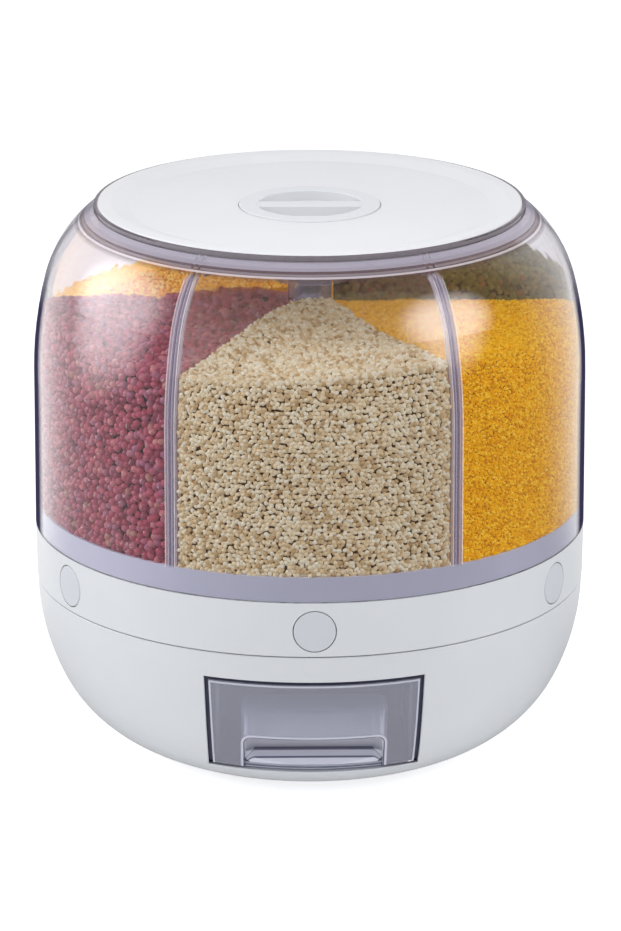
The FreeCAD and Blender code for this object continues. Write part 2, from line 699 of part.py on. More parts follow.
def ball_cage():
    low = BALL_Z - CAGE_THICKNESS / 2
    high = BALL_Z + CAGE_THICKNESS / 2
    ring = tube(RACE_RADIUS - CAGE_WIDTH / 2, RACE_RADIUS + CAGE_WIDTH / 2, low, high)
    pockets = [post(RACE_BALL_RADIUS + BALL_PLAY, low - CUT, high + CUT, x, y)
               for x, y in ring_places(RACE_RADIUS, BALL_ANGLES)]
    return without(ring, pockets)


def pivot_pin():
    flange = post(PIVOT_FLANGE_RADIUS, DECK_TOP_Z, DECK_TOP_Z + PIVOT_FLANGE_HEIGHT)
    shaft = post(PIVOT_RADIUS, DECK_Z - PIVOT_STUB, PIVOT_TOP_Z)
    hole_z = PIVOT_TOP_Z - PIVOT_SCREW_LENGTH - SCREW_TIP_ROOM
    return flange.fuse(shaft).cut(post(SCREW_RADIUS, hole_z, PIVOT_TOP_Z + CUT))


def pivot_washer():
    top = PIVOT_TOP_Z + WASHER_THICKNESS
    return tube(SCREW_RADIUS + HOLE_GAP, HUB_BORE - WASHER_INSET, PIVOT_TOP_Z, top)


def pivot_screw():
    return screw(0, 0, PIVOT_TOP_Z + WASHER_THICKNESS, PIVOT_SCREW_LENGTH, -1)


# Turning hopper

def ring_outside():
    """Everything within the ring's outer face, which the buttons stand flush with."""
    low_outer = WIDEST_RADIUS - RING_TAPER
    return turned([(0, RING_BOTTOM_Z), (low_outer, RING_BOTTOM_Z), (WIDEST_RADIUS, SHELL_Z), (0, SHELL_Z)])


def button_ring():
    low_outer = WIDEST_RADIUS - RING_TAPER
    top_web = RING_INNER - TOP_WEB_WIDTH
    low_web = RING_INNER - LOW_WEB_WIDTH
    ring = turned([
        (RING_INNER, RING_BOTTOM_Z), (low_outer - RING_BEVEL, RING_BOTTOM_Z),
        (low_outer, RING_BOTTOM_Z + RING_BEVEL), (WIDEST_RADIUS, SHELL_Z - RING_BEVEL),
        (WIDEST_RADIUS - RING_BEVEL, SHELL_Z), (RING_INNER, SHELL_Z), (RING_INNER, TRAY_Z),
        (top_web, TRAY_Z), (top_web, TRAY_Z - WEB_HEIGHT), (RING_INNER, TRAY_Z - WEB_HEIGHT),
        (RING_INNER, PLATE_TOP_Z + WEB_HEIGHT), (low_web, PLATE_TOP_Z + WEB_HEIGHT),
        (low_web, PLATE_TOP_Z), (RING_INNER, PLATE_TOP_Z)])
    bore = BUTTON_RADIUS + BUTTON_GAP
    sleeve_end = RING_INNER - SLEEVE_LENGTH
    sleeve = radial_rod(bore + SLEEVE_WALL, sleeve_end, WIDEST_RADIUS - CUT, BUTTON_Z)
    sleeve = sleeve.common(tube(CUT, RING_INNER + RING_WALL / 2, PLATE_TOP_Z, TRAY_Z))
    hole = radial_rod(bore, BUTTON_INNER - BUTTON_TRAVEL, WIDEST_RADIUS + CUT, BUTTON_Z)
    gate_slot = box(low_web - CUT, RING_INNER - CUT, -bore / 2, bore / 2, PLATE_TOP_Z - CUT, BUTTON_Z)
    ring = joined(ring, around(sleeve, BAY_ANGLES))
    ring = without(ring, around(hole, BAY_ANGLES) + around(gate_slot, BAY_ANGLES))
    # The mouths of the six button holes are the only edges on the outer face between its bevels
    mouths = [edge for edge in outer_edges(ring, post(RING_INNER, 0, MOUTH_Z), RING_WALL - RING_TAPER)
              if edge.BoundBox.ZMin > RING_BOTTOM_Z + CUT and edge.BoundBox.ZMax < SHELL_Z - CUT]
    return ring.makeFillet(HOLE_ROUND, mouths)


def wedge(margin, x_in, x_out):
    """A level outline that widens outwards with a bay, larger by margin all round."""
    slope = math.tan(math.radians(FUNNEL_HALF_ANGLE))
    near = x_in - margin
    far = x_out + margin
    return [(near, -x_in * slope - margin), (far, -x_out * slope - margin),
            (far, x_out * slope + margin), (near, x_in * slope + margin)]


def outlet_outline(margin):
    half = OUTLET_WIDTH / 2 + margin
    return [(OUTLET_INNER - margin, -half), (OUTLET_OUTER + margin, -half),
            (OUTLET_OUTER + margin, half), (OUTLET_INNER - margin, half)]


def funnel_inside():
    collar_top = OUTLET_Z + COLLAR_HEIGHT
    cone = ruled(outlet_outline(0), collar_top, wedge(0, FUNNEL_INNER, FUNNEL_OUTER), SHELL_Z + 0.1)
    collar = box(OUTLET_INNER, OUTLET_OUTER, -OUTLET_WIDTH / 2, OUTLET_WIDTH / 2,
                 OUTLET_Z - CUT, collar_top)
    return cone.fuse(collar)


def spring_seat():
    top = BUTTON_Z + SPRING_RADIUS + SPRING_WIRE / 2 + SPRING_SEAT_MARGIN
    half = SPRING_SEAT_WIDTH / 2
    plate = box(SEAT_INNER, SEAT_OUTER, -half, half, OUTLET_Z, top)
    pin = radial_rod(SPRING_PIN_RADIUS, SEAT_OUTER - CUT, SEAT_OUTER + SEAT_PIN_LENGTH, BUTTON_Z)
    return plate.fuse(pin)


def outlet_funnel():
    """The funnel under a bay's opening in the tray, with the fixed seat of the gate's spring."""
    outside = ruled(outlet_outline(FUNNEL_WALL), OUTLET_Z,
                    wedge(FUNNEL_WALL, FUNNEL_INNER, FUNNEL_OUTER), TRAY_Z)
    return without(joined(outside, [spring_seat()]), [funnel_inside()])


def tray_rim():
    return tube(TRAY_OUTER - TRAY_RIM_WALL, TRAY_OUTER, SHELL_Z, TRAY_RIM_Z)


def tray_boss_places():
    return ring_places(TRAY_BOSS_CIRCLE, DIVIDER_ANGLES)


def floor_tray():
    disc = post(TRAY_OUTER, TRAY_Z, SHELL_Z)
    hub = post(HUB_RADIUS, HUB_Z, TRAY_Z + CUT)
    bosses = [post(TRAY_BOSS_RADIUS, PLATE_TOP_Z, TRAY_Z + CUT, x, y) for x, y in tray_boss_places()]
    tray = joined(disc, [hub] + bosses)
    cutters = around(funnel_inside(), BAY_ANGLES)
    cutters.append(post(HUB_BORE, HUB_Z - CUT, TRAY_Z))
    cutters.append(post(POST_PLUG_RADIUS + BOND_GAP, TRAY_Z - CUT, SHELL_Z + CUT))
    cutters += [post(SCREW_RADIUS, PLATE_TOP_Z - CUT, PLATE_TOP_Z + SCREW_LENGTH, x, y)
                for x, y in tray_boss_places()]
    return without(tray, cutters)


def gate_guide_plate():
    disc = tube(HUB_RADIUS + PLATE_HUB_GAP, PLATE_RADIUS, PLATE_Z, PLATE_TOP_Z)
    near = GATE_WIDTH / 2 + SLIDE_GAP
    far = near + GATE_RAIL_WIDTH
    rails = []
    for y0, y1 in ((near, far), (-far, -near)):
        rail = box(GATE_INNER - BUTTON_TRAVEL, BUTTON_INNER - GATE_RAIL_END, y0, y1,
                   PLATE_TOP_Z - CUT, GATE_TOP_Z)
        rails += around(rail, BAY_ANGLES)
    plate = joined(disc, rails)
    half = OUTLET_WIDTH / 2 + WINDOW_MARGIN
    window = box(OUTLET_INNER - WINDOW_MARGIN, OUTLET_OUTER + WINDOW_MARGIN, -half, half,
                 PLATE_Z - CUT, PLATE_TOP_Z + CUT)
    holes = [post(SCREW_RADIUS + HOLE_GAP, PLATE_Z - CUT, PLATE_TOP_Z + CUT, x, y)
             for x, y in tray_boss_places()]
    return without(plate, around(window, BAY_ANGLES) + holes)


def guide_screws():
    screws = [screw(x, y, PLATE_Z, SCREW_LENGTH - SCREW_TIP_ROOM, 1) for x, y in tray_boss_places()]
    return Part.makeCompound(screws)


def pivot_bush():
    bore = PIVOT_RADIUS + SHAFT_GAP
    sleeve = tube(bore, PIVOT_RADIUS + BUSH_WALL, BUSH_Z, PIVOT_TOP_Z - SEAT_GAP)
    collar = tube(bore, HUB_RADIUS - BUSH_COLLAR_INSET, BUSH_Z, HUB_Z)
    return sleeve.fuse(collar).removeSplitter()


def rib(side):
    """One of the two ribs that hold the edge of a divider, lying along the local X axis."""
    near = DIVIDER_THICKNESS / 2 + RIB_GAP
    y0, y1 = sorted((side * near, side * (near + RIB_WIDTH)))
    start = NECK_BORE + NECK_WALL - RIB_GAP
    return box(start, WIDEST_RADIUS, y0, y1, TRAY_RIM_Z + SEAT_GAP, MOUTH_Z)


def mouth_rim():
    """The rim that stands up round the edge of the lid."""
    inner = MOUTH_RADIUS - LID_LIP + RIM_GAP
    low = MOUTH_Z - CUT
    top = MOUTH_Z + RIM_HEIGHT
    return turned([(inner, low), (MOUTH_RADIUS, low), (MOUTH_RADIUS, top - RIM_BEVEL),
                   (MOUTH_RADIUS - RIM_BEVEL, top), (inner, top)])


def clear_shell():
    inside = shell_body(SHELL_WALL)
    shell = shell_body(0).cut(inside)
    shell = shell.cut(post(NECK_BORE, MOUTH_Z - 2 * SHELL_WALL, MOUTH_Z + CUT))
    neck = tube(NECK_BORE, NECK_BORE + NECK_WALL, MOUTH_Z - NECK_DEPTH, MOUTH_Z - CUT)
    band = inside.cut(shell_body(SHELL_WALL + RIB_DEPTH))
    ribs = []
    for side in (-1, 1):
        ribs += around(band.common(rib(side)), DIVIDER_ANGLES)
    return joined(shell, [neck, mouth_rim()] + ribs)


def divider():
    """A clear wall between two bays, lying along the local X axis."""
    half = DIVIDER_THICKNESS / 2
    side = half + CUT
    top = MOUTH_Z - DIVIDER_TOP_DROP
    slab = box(POST_RADIUS + SEAT_GAP, WIDEST_RADIUS, -half, half, SHELL_Z, top)
    wall = slab.common(shell_body(SHELL_WALL + SEAT_GAP))
    corner = max(vertex.X for vertex in wall.Vertexes if vertex.Z > top - 0.01)
    bevel = DIVIDER_CHAMFER
    over = top + CUT / 2
    outline = [Vector(corner - bevel, -side, over), Vector(corner + CUT, -side, over),
               Vector(corner + 2 * CUT, -side, top - 2 * bevel)]
    chamfer = prism(outline, Vector(0, 2 * side, 0))
    tray_rim = box(TRAY_OUTER - TRAY_RIM_WALL - SEAT_GAP, WIDEST_RADIUS, -side, side,
                   SHELL_Z - CUT, TRAY_RIM_Z + SEAT_GAP)
    lid = box(0, NECK_BORE + NECK_WALL + SEAT_GAP, -side, side, MOUTH_Z - DIVIDER_LID_DROP, MOUTH_Z)
    moisture = box(0, BOX_RADIUS + BOX_FLANGE, -side, side, POST_TOP_Z, MOUTH_Z)
    return without(wall, [chamfer, tray_rim, lid, moisture])


def centre_post():
    outside = post(POST_RADIUS, SHELL_Z, POST_TOP_Z)
    top_edge = [edge for edge in outside.Edges if edge.BoundBox.ZMin > POST_TOP_Z - 0.01]
    outside = outside.makeFillet(POST_ROUND, top_edge)
    plug = post(POST_PLUG_RADIUS, TRAY_Z, SHELL_Z)
    bore = post(POST_PLUG_RADIUS - POST_WALL, TRAY_Z - CUT, POST_TOP_Z - POST_CAP)
    return outside.fuse(plug).cut(bore).removeSplitter()


# Buttons, gates and springs, drawn with X pointing outwards through the bay

def button_cap():
    solid = radial_rod(BUTTON_RADIUS, BUTTON_INNER, WIDEST_RADIUS + CUT, BUTTON_Z)
    solid = solid.common(ring_outside())
    face_edge = [edge for edge in solid.Edges if edge.BoundBox.XMin > BUTTON_INNER + SPIGOT_LENGTH]
    solid = solid.makeFillet(BUTTON_ROUND, [edge for edge in face_edge if edge.BoundBox.YLength > CUT])
    hollow = radial_rod(BUTTON_RADIUS - BUTTON_WALL, BUTTON_INNER - CUT, WIDEST_RADIUS - BUTTON_FACE,
                        BUTTON_Z)
    return solid.cut(hollow)


def gate_slide():
    half = GATE_WIDTH / 2
    plate = box(GATE_INNER, BUTTON_INNER, -half, half, GATE_Z, GATE_TOP_Z)
    plate = plate.makeFillet(GATE_CORNER, upright_edges(plate))
    window_x = OUTLET_OUTER + GATE_OVERLAP
    window = box(window_x, window_x + OUTLET_LENGTH, -OUTLET_WIDTH / 2, OUTLET_WIDTH / 2,
                 GATE_Z - CUT, GATE_TOP_Z + CUT)
    tab = box(TAB_INNER, BUTTON_INNER, -TAB_WIDTH / 2, TAB_WIDTH / 2, GATE_Z, BUTTON_Z + TAB_HEIGHT)
    room = TAB_INNER - SEAT_OUTER - BUTTON_TRAVEL
    pin_length = room - SEAT_PIN_LENGTH - PIN_END_GAP
    pin = radial_rod(SPRING_PIN_RADIUS, TAB_INNER - pin_length, TAB_INNER + CUT, BUTTON_Z)
    spigot = radial_rod(BUTTON_RADIUS - BUTTON_WALL - HOLE_GAP, BUTTON_INNER - CUT,
                        BUTTON_INNER + SPIGOT_LENGTH, BUTTON_Z)
    return joined(plate, [tab, pin, spigot]).cut(window)


def arc_from(start, tangent, end, flipped):
    chord = end - start
    length = chord.Length
    along = chord * (1 / length)
    side = tangent - along * tangent.dot(along)
    side.normalize()
    half_turn = math.acos(max(-1.0, min(1.0, tangent.dot(along))))
    middle = start + chord * 0.5 + side * (length / 2 * math.tan(half_turn / 2))
    if flipped:
        return Part.Arc(end, middle, start).toShape()
    return Part.Arc(start, middle, end).toShape()


def biarc(p0, t0, p1, t1):
    """Two arcs from p0 to p1 that leave along t0 and arrive along t1."""
    gap = p1 - p0
    spread = 2 * (1 - t0.dot(t1))
    reach = gap.dot(t0 + t1)
    d = (math.sqrt(reach**2 + spread * gap.dot(gap)) - reach) / spread
    middle = (p0 + p1 + (t0 - t1) * d) * 0.5
    return [arc_from(p0, t0, middle, False), arc_from(p1, t1 * -1, middle, True)]


def spring():
    """A compression spring round the local X axis, between its seat and the gate's tab."""
    margin = SPRING_WIRE / 2 + SPRING_END_GAP
    first = SEAT_OUTER + margin
    last = TAB_INNER - margin
    rise = (last - first) / (SPRING_TURNS * 2 * math.pi)

    def place(turn):
        return Vector(first + rise * turn, SPRING_RADIUS * math.cos(turn),
                      BUTTON_Z + SPRING_RADIUS * math.sin(turn))

    def heading(turn):
        way = Vector(rise, -SPRING_RADIUS * math.sin(turn), SPRING_RADIUS * math.cos(turn))
        way.normalize()
        return way

    print("least gap between spring turns", round(2 * math.pi * rise - SPRING_WIRE, 2), "mm")
    edges = []
    turns = [math.pi / 2 * k for k in range(4 * SPRING_TURNS + 1)]
    for start, end in zip(turns, turns[1:]):
        edges += biarc(place(start), heading(start), place(end), heading(end))
    section = Part.Wire(Part.Circle(place(0), heading(0), SPRING_WIRE / 2).toShape())
    return Part.Wire(edges).makePipeShell([section], True, False)


# Lid and knob

def lid_cover():
    outer = MOUTH_RADIUS - LID_LIP
    top = MOUTH_Z + LID_HEIGHT
    well = KNOB_RADIUS + KNOB_GAP
    border = outer - LID_BORDER
    dish = border - LID_SLOPE
    under = DISH_Z - LID_WALL
    skirt_in = SKIRT_OUTER - SKIRT_WALL
    skirt_z = MOUTH_Z - SKIRT_DEPTH
    cover = turned([
        (outer, MOUTH_Z), (outer, top), (border, top), (dish, DISH_Z), (well, DISH_Z),
        (well, LINER_TOP_Z), (well + LID_WALL, LINER_TOP_Z), (well + LID_WALL, under), (dish, under),
        (border, top - LID_WALL), (skirt_in, top - LID_WALL), (skirt_in, skirt_z),
        (SKIRT_OUTER, skirt_z), (SKIRT_OUTER, MOUTH_Z)])
    rim = [edge for edge in cover.Edges
           if edge.BoundBox.ZMin > top - 0.01 and edge.BoundBox.XMax > outer - 0.01]
    cover = cover.makeFillet(LID_ROUND, rim)
    seal_top = MOUTH_Z - SEAL_DROP
    groove = tube(SKIRT_OUTER - SEAL_DEPTH, SKIRT_OUTER + CUT, seal_top - SEAL_HEIGHT, seal_top)
    return cover.cut(groove)


def lid_seal():
    top = MOUTH_Z - SEAL_DROP - SEAL_GAP
    low = MOUTH_Z - SEAL_DROP - SEAL_HEIGHT + SEAL_GAP
    inner = SKIRT_OUTER - SEAL_DEPTH + SEAL_GAP
    lip = NECK_BORE - SEAL_GAP
    waist = SKIRT_OUTER + SEAL_WAIST
    return turned([(inner, low), (waist, low), (lip, low + SEAL_LIP_SLOPE), (waist, (low + top) / 2),
                   (lip, top - SEAL_LIP_SLOPE), (waist, top), (inner, top)])


def lid_liner():
    outer = SKIRT_OUTER - SKIRT_WALL - BOND_GAP
    return tube(BOX_RADIUS + BOX_GAP, outer, LINER_TOP_Z - LINER_THICKNESS, LINER_TOP_Z)


def lug_ring(bore, radius, z0, z1, end_gap):
    ring = tube(bore, radius, z0, z1)
    width = LUG_ANGLE - 2 * end_gap
    return [sector(ring, 360 / LUGS * k - width / 2, width) for k in range(LUGS)]


def moisture_box():
    sump_bore = SUMP_RADIUS - BOX_WALL
    flange = BOX_RADIUS + BOX_FLANGE
    cup = turned([
        (BOX_BORE, BOX_TOP_Z), (BOX_BORE, BOX_Z + BOX_WALL), (sump_bore, BOX_Z + BOX_WALL),
        (sump_bore, SUMP_Z + BOX_WALL), (0, SUMP_Z + BOX_WALL), (0, SUMP_Z), (SUMP_RADIUS, SUMP_Z),
        (SUMP_RADIUS, BOX_Z), (BOX_RADIUS, BOX_Z), (BOX_RADIUS, LINER_TOP_Z), (flange, LINER_TOP_Z),
        (flange, BOX_TOP_Z)])
    lugs = lug_ring(PLUG_RADIUS + BOX_GAP, BOX_BORE + BOX_WALL / 2, LUG_TOP_Z - LUG_THICKNESS, LUG_TOP_Z, 0)
    angles = [360 / VENTS * k for k in range(VENTS)]
    vents = [post(VENT_RADIUS, SUMP_Z - CUT, SUMP_Z + BOX_WALL + CUT, x, y)
             for x, y in ring_places(VENT_CIRCLE, angles)]
    return without(joined(cup, lugs), vents)


def knob():
    top = KNOB_TOP_Z
    floor = top - KNOB_RECESS_DEPTH
    under = floor - KNOB_FLOOR
    roof = top - KNOB_WALL
    low = LINER_TOP_Z + SLIDE_GAP
    edge = EDGE_ROUND
    rim_in = KNOB_RADIUS - KNOB_WALL
    recess_wall = KNOB_RECESS_RADIUS + KNOB_WALL
    plug_in = PLUG_RADIUS - KNOB_WALL
    body = turned([
        (0, floor), (KNOB_RECESS_RADIUS, floor), (KNOB_RECESS_RADIUS, top - edge),
        (KNOB_RECESS_RADIUS + edge, top), (KNOB_RADIUS - edge, top), (KNOB_RADIUS, top - edge),
        (KNOB_RADIUS, low), (rim_in, low), (rim_in, roof), (recess_wall, roof), (recess_wall, under),
        (PLUG_RADIUS, under), (PLUG_RADIUS, PLUG_Z), (plug_in, PLUG_Z), (plug_in, under), (0, under)])
    half = KNOB_BAR_WIDTH / 2
    reach = KNOB_RECESS_RADIUS + edge / 2
    bar = box(-reach, reach, -half, half, floor - edge, top - KNOB_BAR_DROP)
    long_edges = [line for line in bar.Edges
                  if line.BoundBox.ZMin > floor and line.BoundBox.XLength > KNOB_RECESS_RADIUS]
    bar = bar.makeFillet(EDGE_ROUND, long_edges).common(post(reach, floor - CUT, top))
    lug_top = LUG_TOP_Z - LUG_THICKNESS - SLIDE_GAP
    lugs = lug_ring(PLUG_RADIUS - BOX_WALL / 2, BOX_BORE - BOX_GAP, PLUG_Z, lug_top, LUG_END_GAP)
    return joined(body, [bar] + lugs)


# Drawer

def rounded_block(half, back, corner, z0, z1):
    """A block from outside the bowl to its back, with the two upright back corners rounded."""
    block = box(-half, half, -WIDEST_RADIUS - CUT, back, z0, z1)
    rear = [edge for edge in upright_edges(block) if edge.BoundBox.YMin > back - 0.01]
    return block.makeFillet(corner, rear)


def drawer_tray():
    half = DRAWER_WIDTH / 2
    floor = DRAWER_FLOOR + DRAWER_WALL
    outside = rounded_block(half, -DRAWER_BACK, DRAWER_CORNER, DRAWER_FLOOR, DRAWER_TOP_Z)
    hollow = rounded_block(half - DRAWER_WALL, -DRAWER_BACK - DRAWER_WALL, DRAWER_CORNER - DRAWER_WALL,
                           floor, DRAWER_TOP_Z + CUT)
    return outside.cut(hollow).common(bowl_body(BOWL_WALL + BOND_GAP))


def drawer_front():
    inside = bowl_body(BOWL_WALL)
    panel = bowl_body(0).cut(inside).common(opening_prism(PANEL_GAP))
    half = NOTCH_WIDTH / 2
    start = -WIDEST_RADIUS - CUT
    notch = box(-half, half, start, start / 2, OPENING_BOTTOM - CUT, NOTCH_TOP)
    corners = [edge for edge in notch.Edges
               if edge.BoundBox.ZMin > NOTCH_TOP - 0.01 and edge.BoundBox.YLength > CUT]
    panel = panel.cut(notch.makeFillet(NOTCH_CORNER, corners))
    return panel.makeChamfer(EDGE_ROUND, outer_edges(panel, inside, BOWL_WALL))


def finger_cup():
    """The hollow behind the notch, with a ledge low on its back wall. Its floor is the tray's."""
    half = NOTCH_WIDTH / 2
    floor = DRAWER_FLOOR + DRAWER_WALL
    outside = rounded_block(half + CUP_WALL, CUP_BACK + CUP_WALL, CUP_CORNER + CUP_WALL,
                            floor, CUP_TOP + CUP_WALL)
    upper = rounded_block(half, CUP_BACK, CUP_CORNER, CUP_STEP_TOP, CUP_TOP)
    lower = rounded_block(half, CUP_BACK - CUP_STEP, CUP_CORNER, floor - CUT, CUP_STEP_TOP)
    return without(outside, [upper, lower]).common(bowl_body(BOWL_WALL + BOND_GAP))


def main():
    os.makedirs("parts", exist_ok=True)
    single = [
        base_bowl, foot_pads, base_deck, deck_screws, drawer_bay, bay_screws, discharge_chute,
        lower_race, race_balls, ball_cage, upper_race, pivot_pin, pivot_washer, pivot_screw, pivot_bush,
        button_ring, floor_tray, tray_rim, gate_guide_plate, guide_screws, clear_shell, centre_post,
        lid_cover, lid_seal, lid_liner, moisture_box, knob, drawer_tray, drawer_front, finger_cup,
    ]
    for make in single:
        write(make.__name__, make())
    repeated = {"button_cap": (button_cap(), BAY_ANGLES), "gate_slide": (gate_slide(), BAY_ANGLES),
                "gate_spring": (spring(), BAY_ANGLES), "outlet_funnel": (outlet_funnel(), BAY_ANGLES),
                "divider": (divider(), DIVIDER_ANGLES)}
    for name, (shape, angles) in repeated.items():
        for number, angle in enumerate(angles, start=1):
            write(name + "_" + str(number), spun(shape, angle))


main()
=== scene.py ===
"""The looks of the rice dispenser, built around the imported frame. Metres, Z up, front towards -Y."""

import math

import bpy
import numpy as np
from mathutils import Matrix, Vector


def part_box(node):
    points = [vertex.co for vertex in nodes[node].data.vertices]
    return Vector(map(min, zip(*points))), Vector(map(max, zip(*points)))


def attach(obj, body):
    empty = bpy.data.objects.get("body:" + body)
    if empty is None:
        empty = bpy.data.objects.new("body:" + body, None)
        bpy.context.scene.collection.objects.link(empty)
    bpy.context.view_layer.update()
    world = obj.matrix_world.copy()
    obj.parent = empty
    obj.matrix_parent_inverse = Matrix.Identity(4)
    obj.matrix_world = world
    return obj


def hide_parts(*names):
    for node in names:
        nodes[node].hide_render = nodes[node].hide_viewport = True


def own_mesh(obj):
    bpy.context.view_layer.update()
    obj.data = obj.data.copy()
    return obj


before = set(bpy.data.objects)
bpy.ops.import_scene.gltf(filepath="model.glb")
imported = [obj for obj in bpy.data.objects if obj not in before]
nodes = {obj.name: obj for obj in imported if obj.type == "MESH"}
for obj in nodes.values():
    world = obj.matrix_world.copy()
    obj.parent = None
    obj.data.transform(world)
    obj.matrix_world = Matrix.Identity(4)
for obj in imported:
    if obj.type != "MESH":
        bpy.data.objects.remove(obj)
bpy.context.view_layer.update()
MM = 0.001

# Camera, solved from the photograph
CAMERA_BACK = 2634 * MM
CAMERA_HEIGHT = 1003.6 * MM
CAMERA_PITCH = math.radians(17.65)
CAMERA_AZIMUTH = math.radians(-1.0)
CAMERA_TURN = math.radians(-0.01)     # puts the axis just left of the picture's centre
FOCAL_PIXELS = 4596
IMAGE_HEIGHT = 931
SENSOR = 36.0

# Places in the hopper, read from the frame
FLOOR_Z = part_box("clear_shell")[0][2]
NECK_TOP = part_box("clear_shell")[1][2]
MOUTH_Z = NECK_TOP - 2.8 * MM         # where the lid's edge rests
RIM_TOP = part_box("tray_rim")[1][2] + 0.3 * MM
TRAY_INSET = 2.2 * MM                 # the tray's rim stands inside the shell
POST_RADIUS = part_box("centre_post")[1][0]
DIVIDER_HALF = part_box("divider_2")[1][1]
RIB_HALF = 3.1 * MM                   # divider plane to the far side of a rib
RIB_DEPTH = 3.2 * MM
BAY_ANGLES = [math.radians(-90 + 60 * k) for k in range(6)]
HALF_BAY = math.radians(30)

# Painted refraction lines, shade bands and dark outline on the clear shell
NECK_PAINTED_BANDS = 13 * MM                  # height of the neck's painted bands of shade and highlight, down from its top
NECK_RADIUS = 125.5 * MM              # the painted bands are only outside this radius
RIB_REACH = 4 * MM                    # from the divider's plane to past the ribs' painted refraction lines
SHOULDER_LOW = 270 * MM               # the painted dark outline fades between these heights,
SHOULDER_HIGH = 310 * MM
SHOULDER_PAINTED_EDGE = 0.45                  # and this share of it is left above them

# Seeds. Rows and shakes along a surface are in pitches, a pitch being the distance of neighbours
ROW_STEP = 0.87
SHAKE, TOP_SHAKE = 0.18, 0.24
LAYERS = 2
SIDE_BAND = 22 * MM                   # width of the bands along a divider
NEAR_WALL = 157 * MM                  # the radius where a core takes its height at the wall
LOWEST_HEAP = 80 * MM                 # the top of every heap is farther above the floor
HEAP_RIPPLE = 0.6 * MM
# In half thicknesses of a seed: depth below a wall or a heap's top, first layer and each next
WALL_DEPTH, NEXT_WALL_DEPTH = 1.05, 1.35
TOP_DEPTH, NEXT_TOP_DEPTH = 0.6, 1.2
CORE_DEPTH = 1.9
TOP_UNEVEN = 0.18                     # how far seeds on top are shaken up and down
DIVIDER_UNEVEN = 0.1                  # and those on a divider away from it
TOP_MARGIN = 0.3                      # seeds on the shell pass the heap's top by this, and those
                                      # on a divider end as far below it
SCAR_SHARE = 0.2                      # one bean in five shows its scar
SCAR_PLACE = 0.98                     # this far out from the bean's middle
SCAR_SIZES = (1.15 * MM, 0.3 * MM, 0.16 * MM)

# Places on the drawer
PANEL_LOW, PANEL_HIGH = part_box("drawer_front")
PANEL_LOW_HALF = 58.7 * MM            # half width along the panel's lower edge
NOTCH_HALF = 40.25 * MM
NOTCH_TOP = 47 * MM
NOTCH_CORNER = 4 * MM
CUP_LINES_LOW = 26 * MM               # lower end of the painted shade lines on the finger cup's back wall
CUP_BEND_FROM = 34 * MM               # the painted lines bend down from here towards the sides
CUP_BEND = 190                        # how much, in metres per square metre
CUP_STREAKS = (32 * MM, 42 * MM)      # where the painted highlight streaks are, from the middle plane
CUP_STREAK_HEIGHTS = (40 * MM, 64 * MM)
LIP_REACH = 4 * MM                    # from the notch's edge to past the painted lines round it
OUTLINE_REACH = 3 * MM                # from the panel's edge to past its painted highlight line
LINING_FRONT = -112 * MM              # the lining is painted pale, as lit, in front of this
LINING_LOW = 23.2 * MM                # and below this

# Light
ROOM_LIGHT = 0.5
FLOOR_GLOW = 0.5
FRONT_DIM = 0.16                      # what shiny things see on the camera's side of the room
# Soft windows: azimuth, height and reach in degrees, then strength
GLOWS = [(-97, 17, 31, 4.9), (-112, 27, 20, 0.8), (64, 22, 25, 6.0), (-98, -6, 62, 0.45)]
BACK_FROM, BACK_FULL = 0.1, 0.75      # where the bright back of the room starts, as a direction's Y
ROOM_CENTRE = (0, 0, 0.24)
FLOOR_HALF = 9.0

rng = np.random.default_rng(seed=8)


# Nodes and sockets

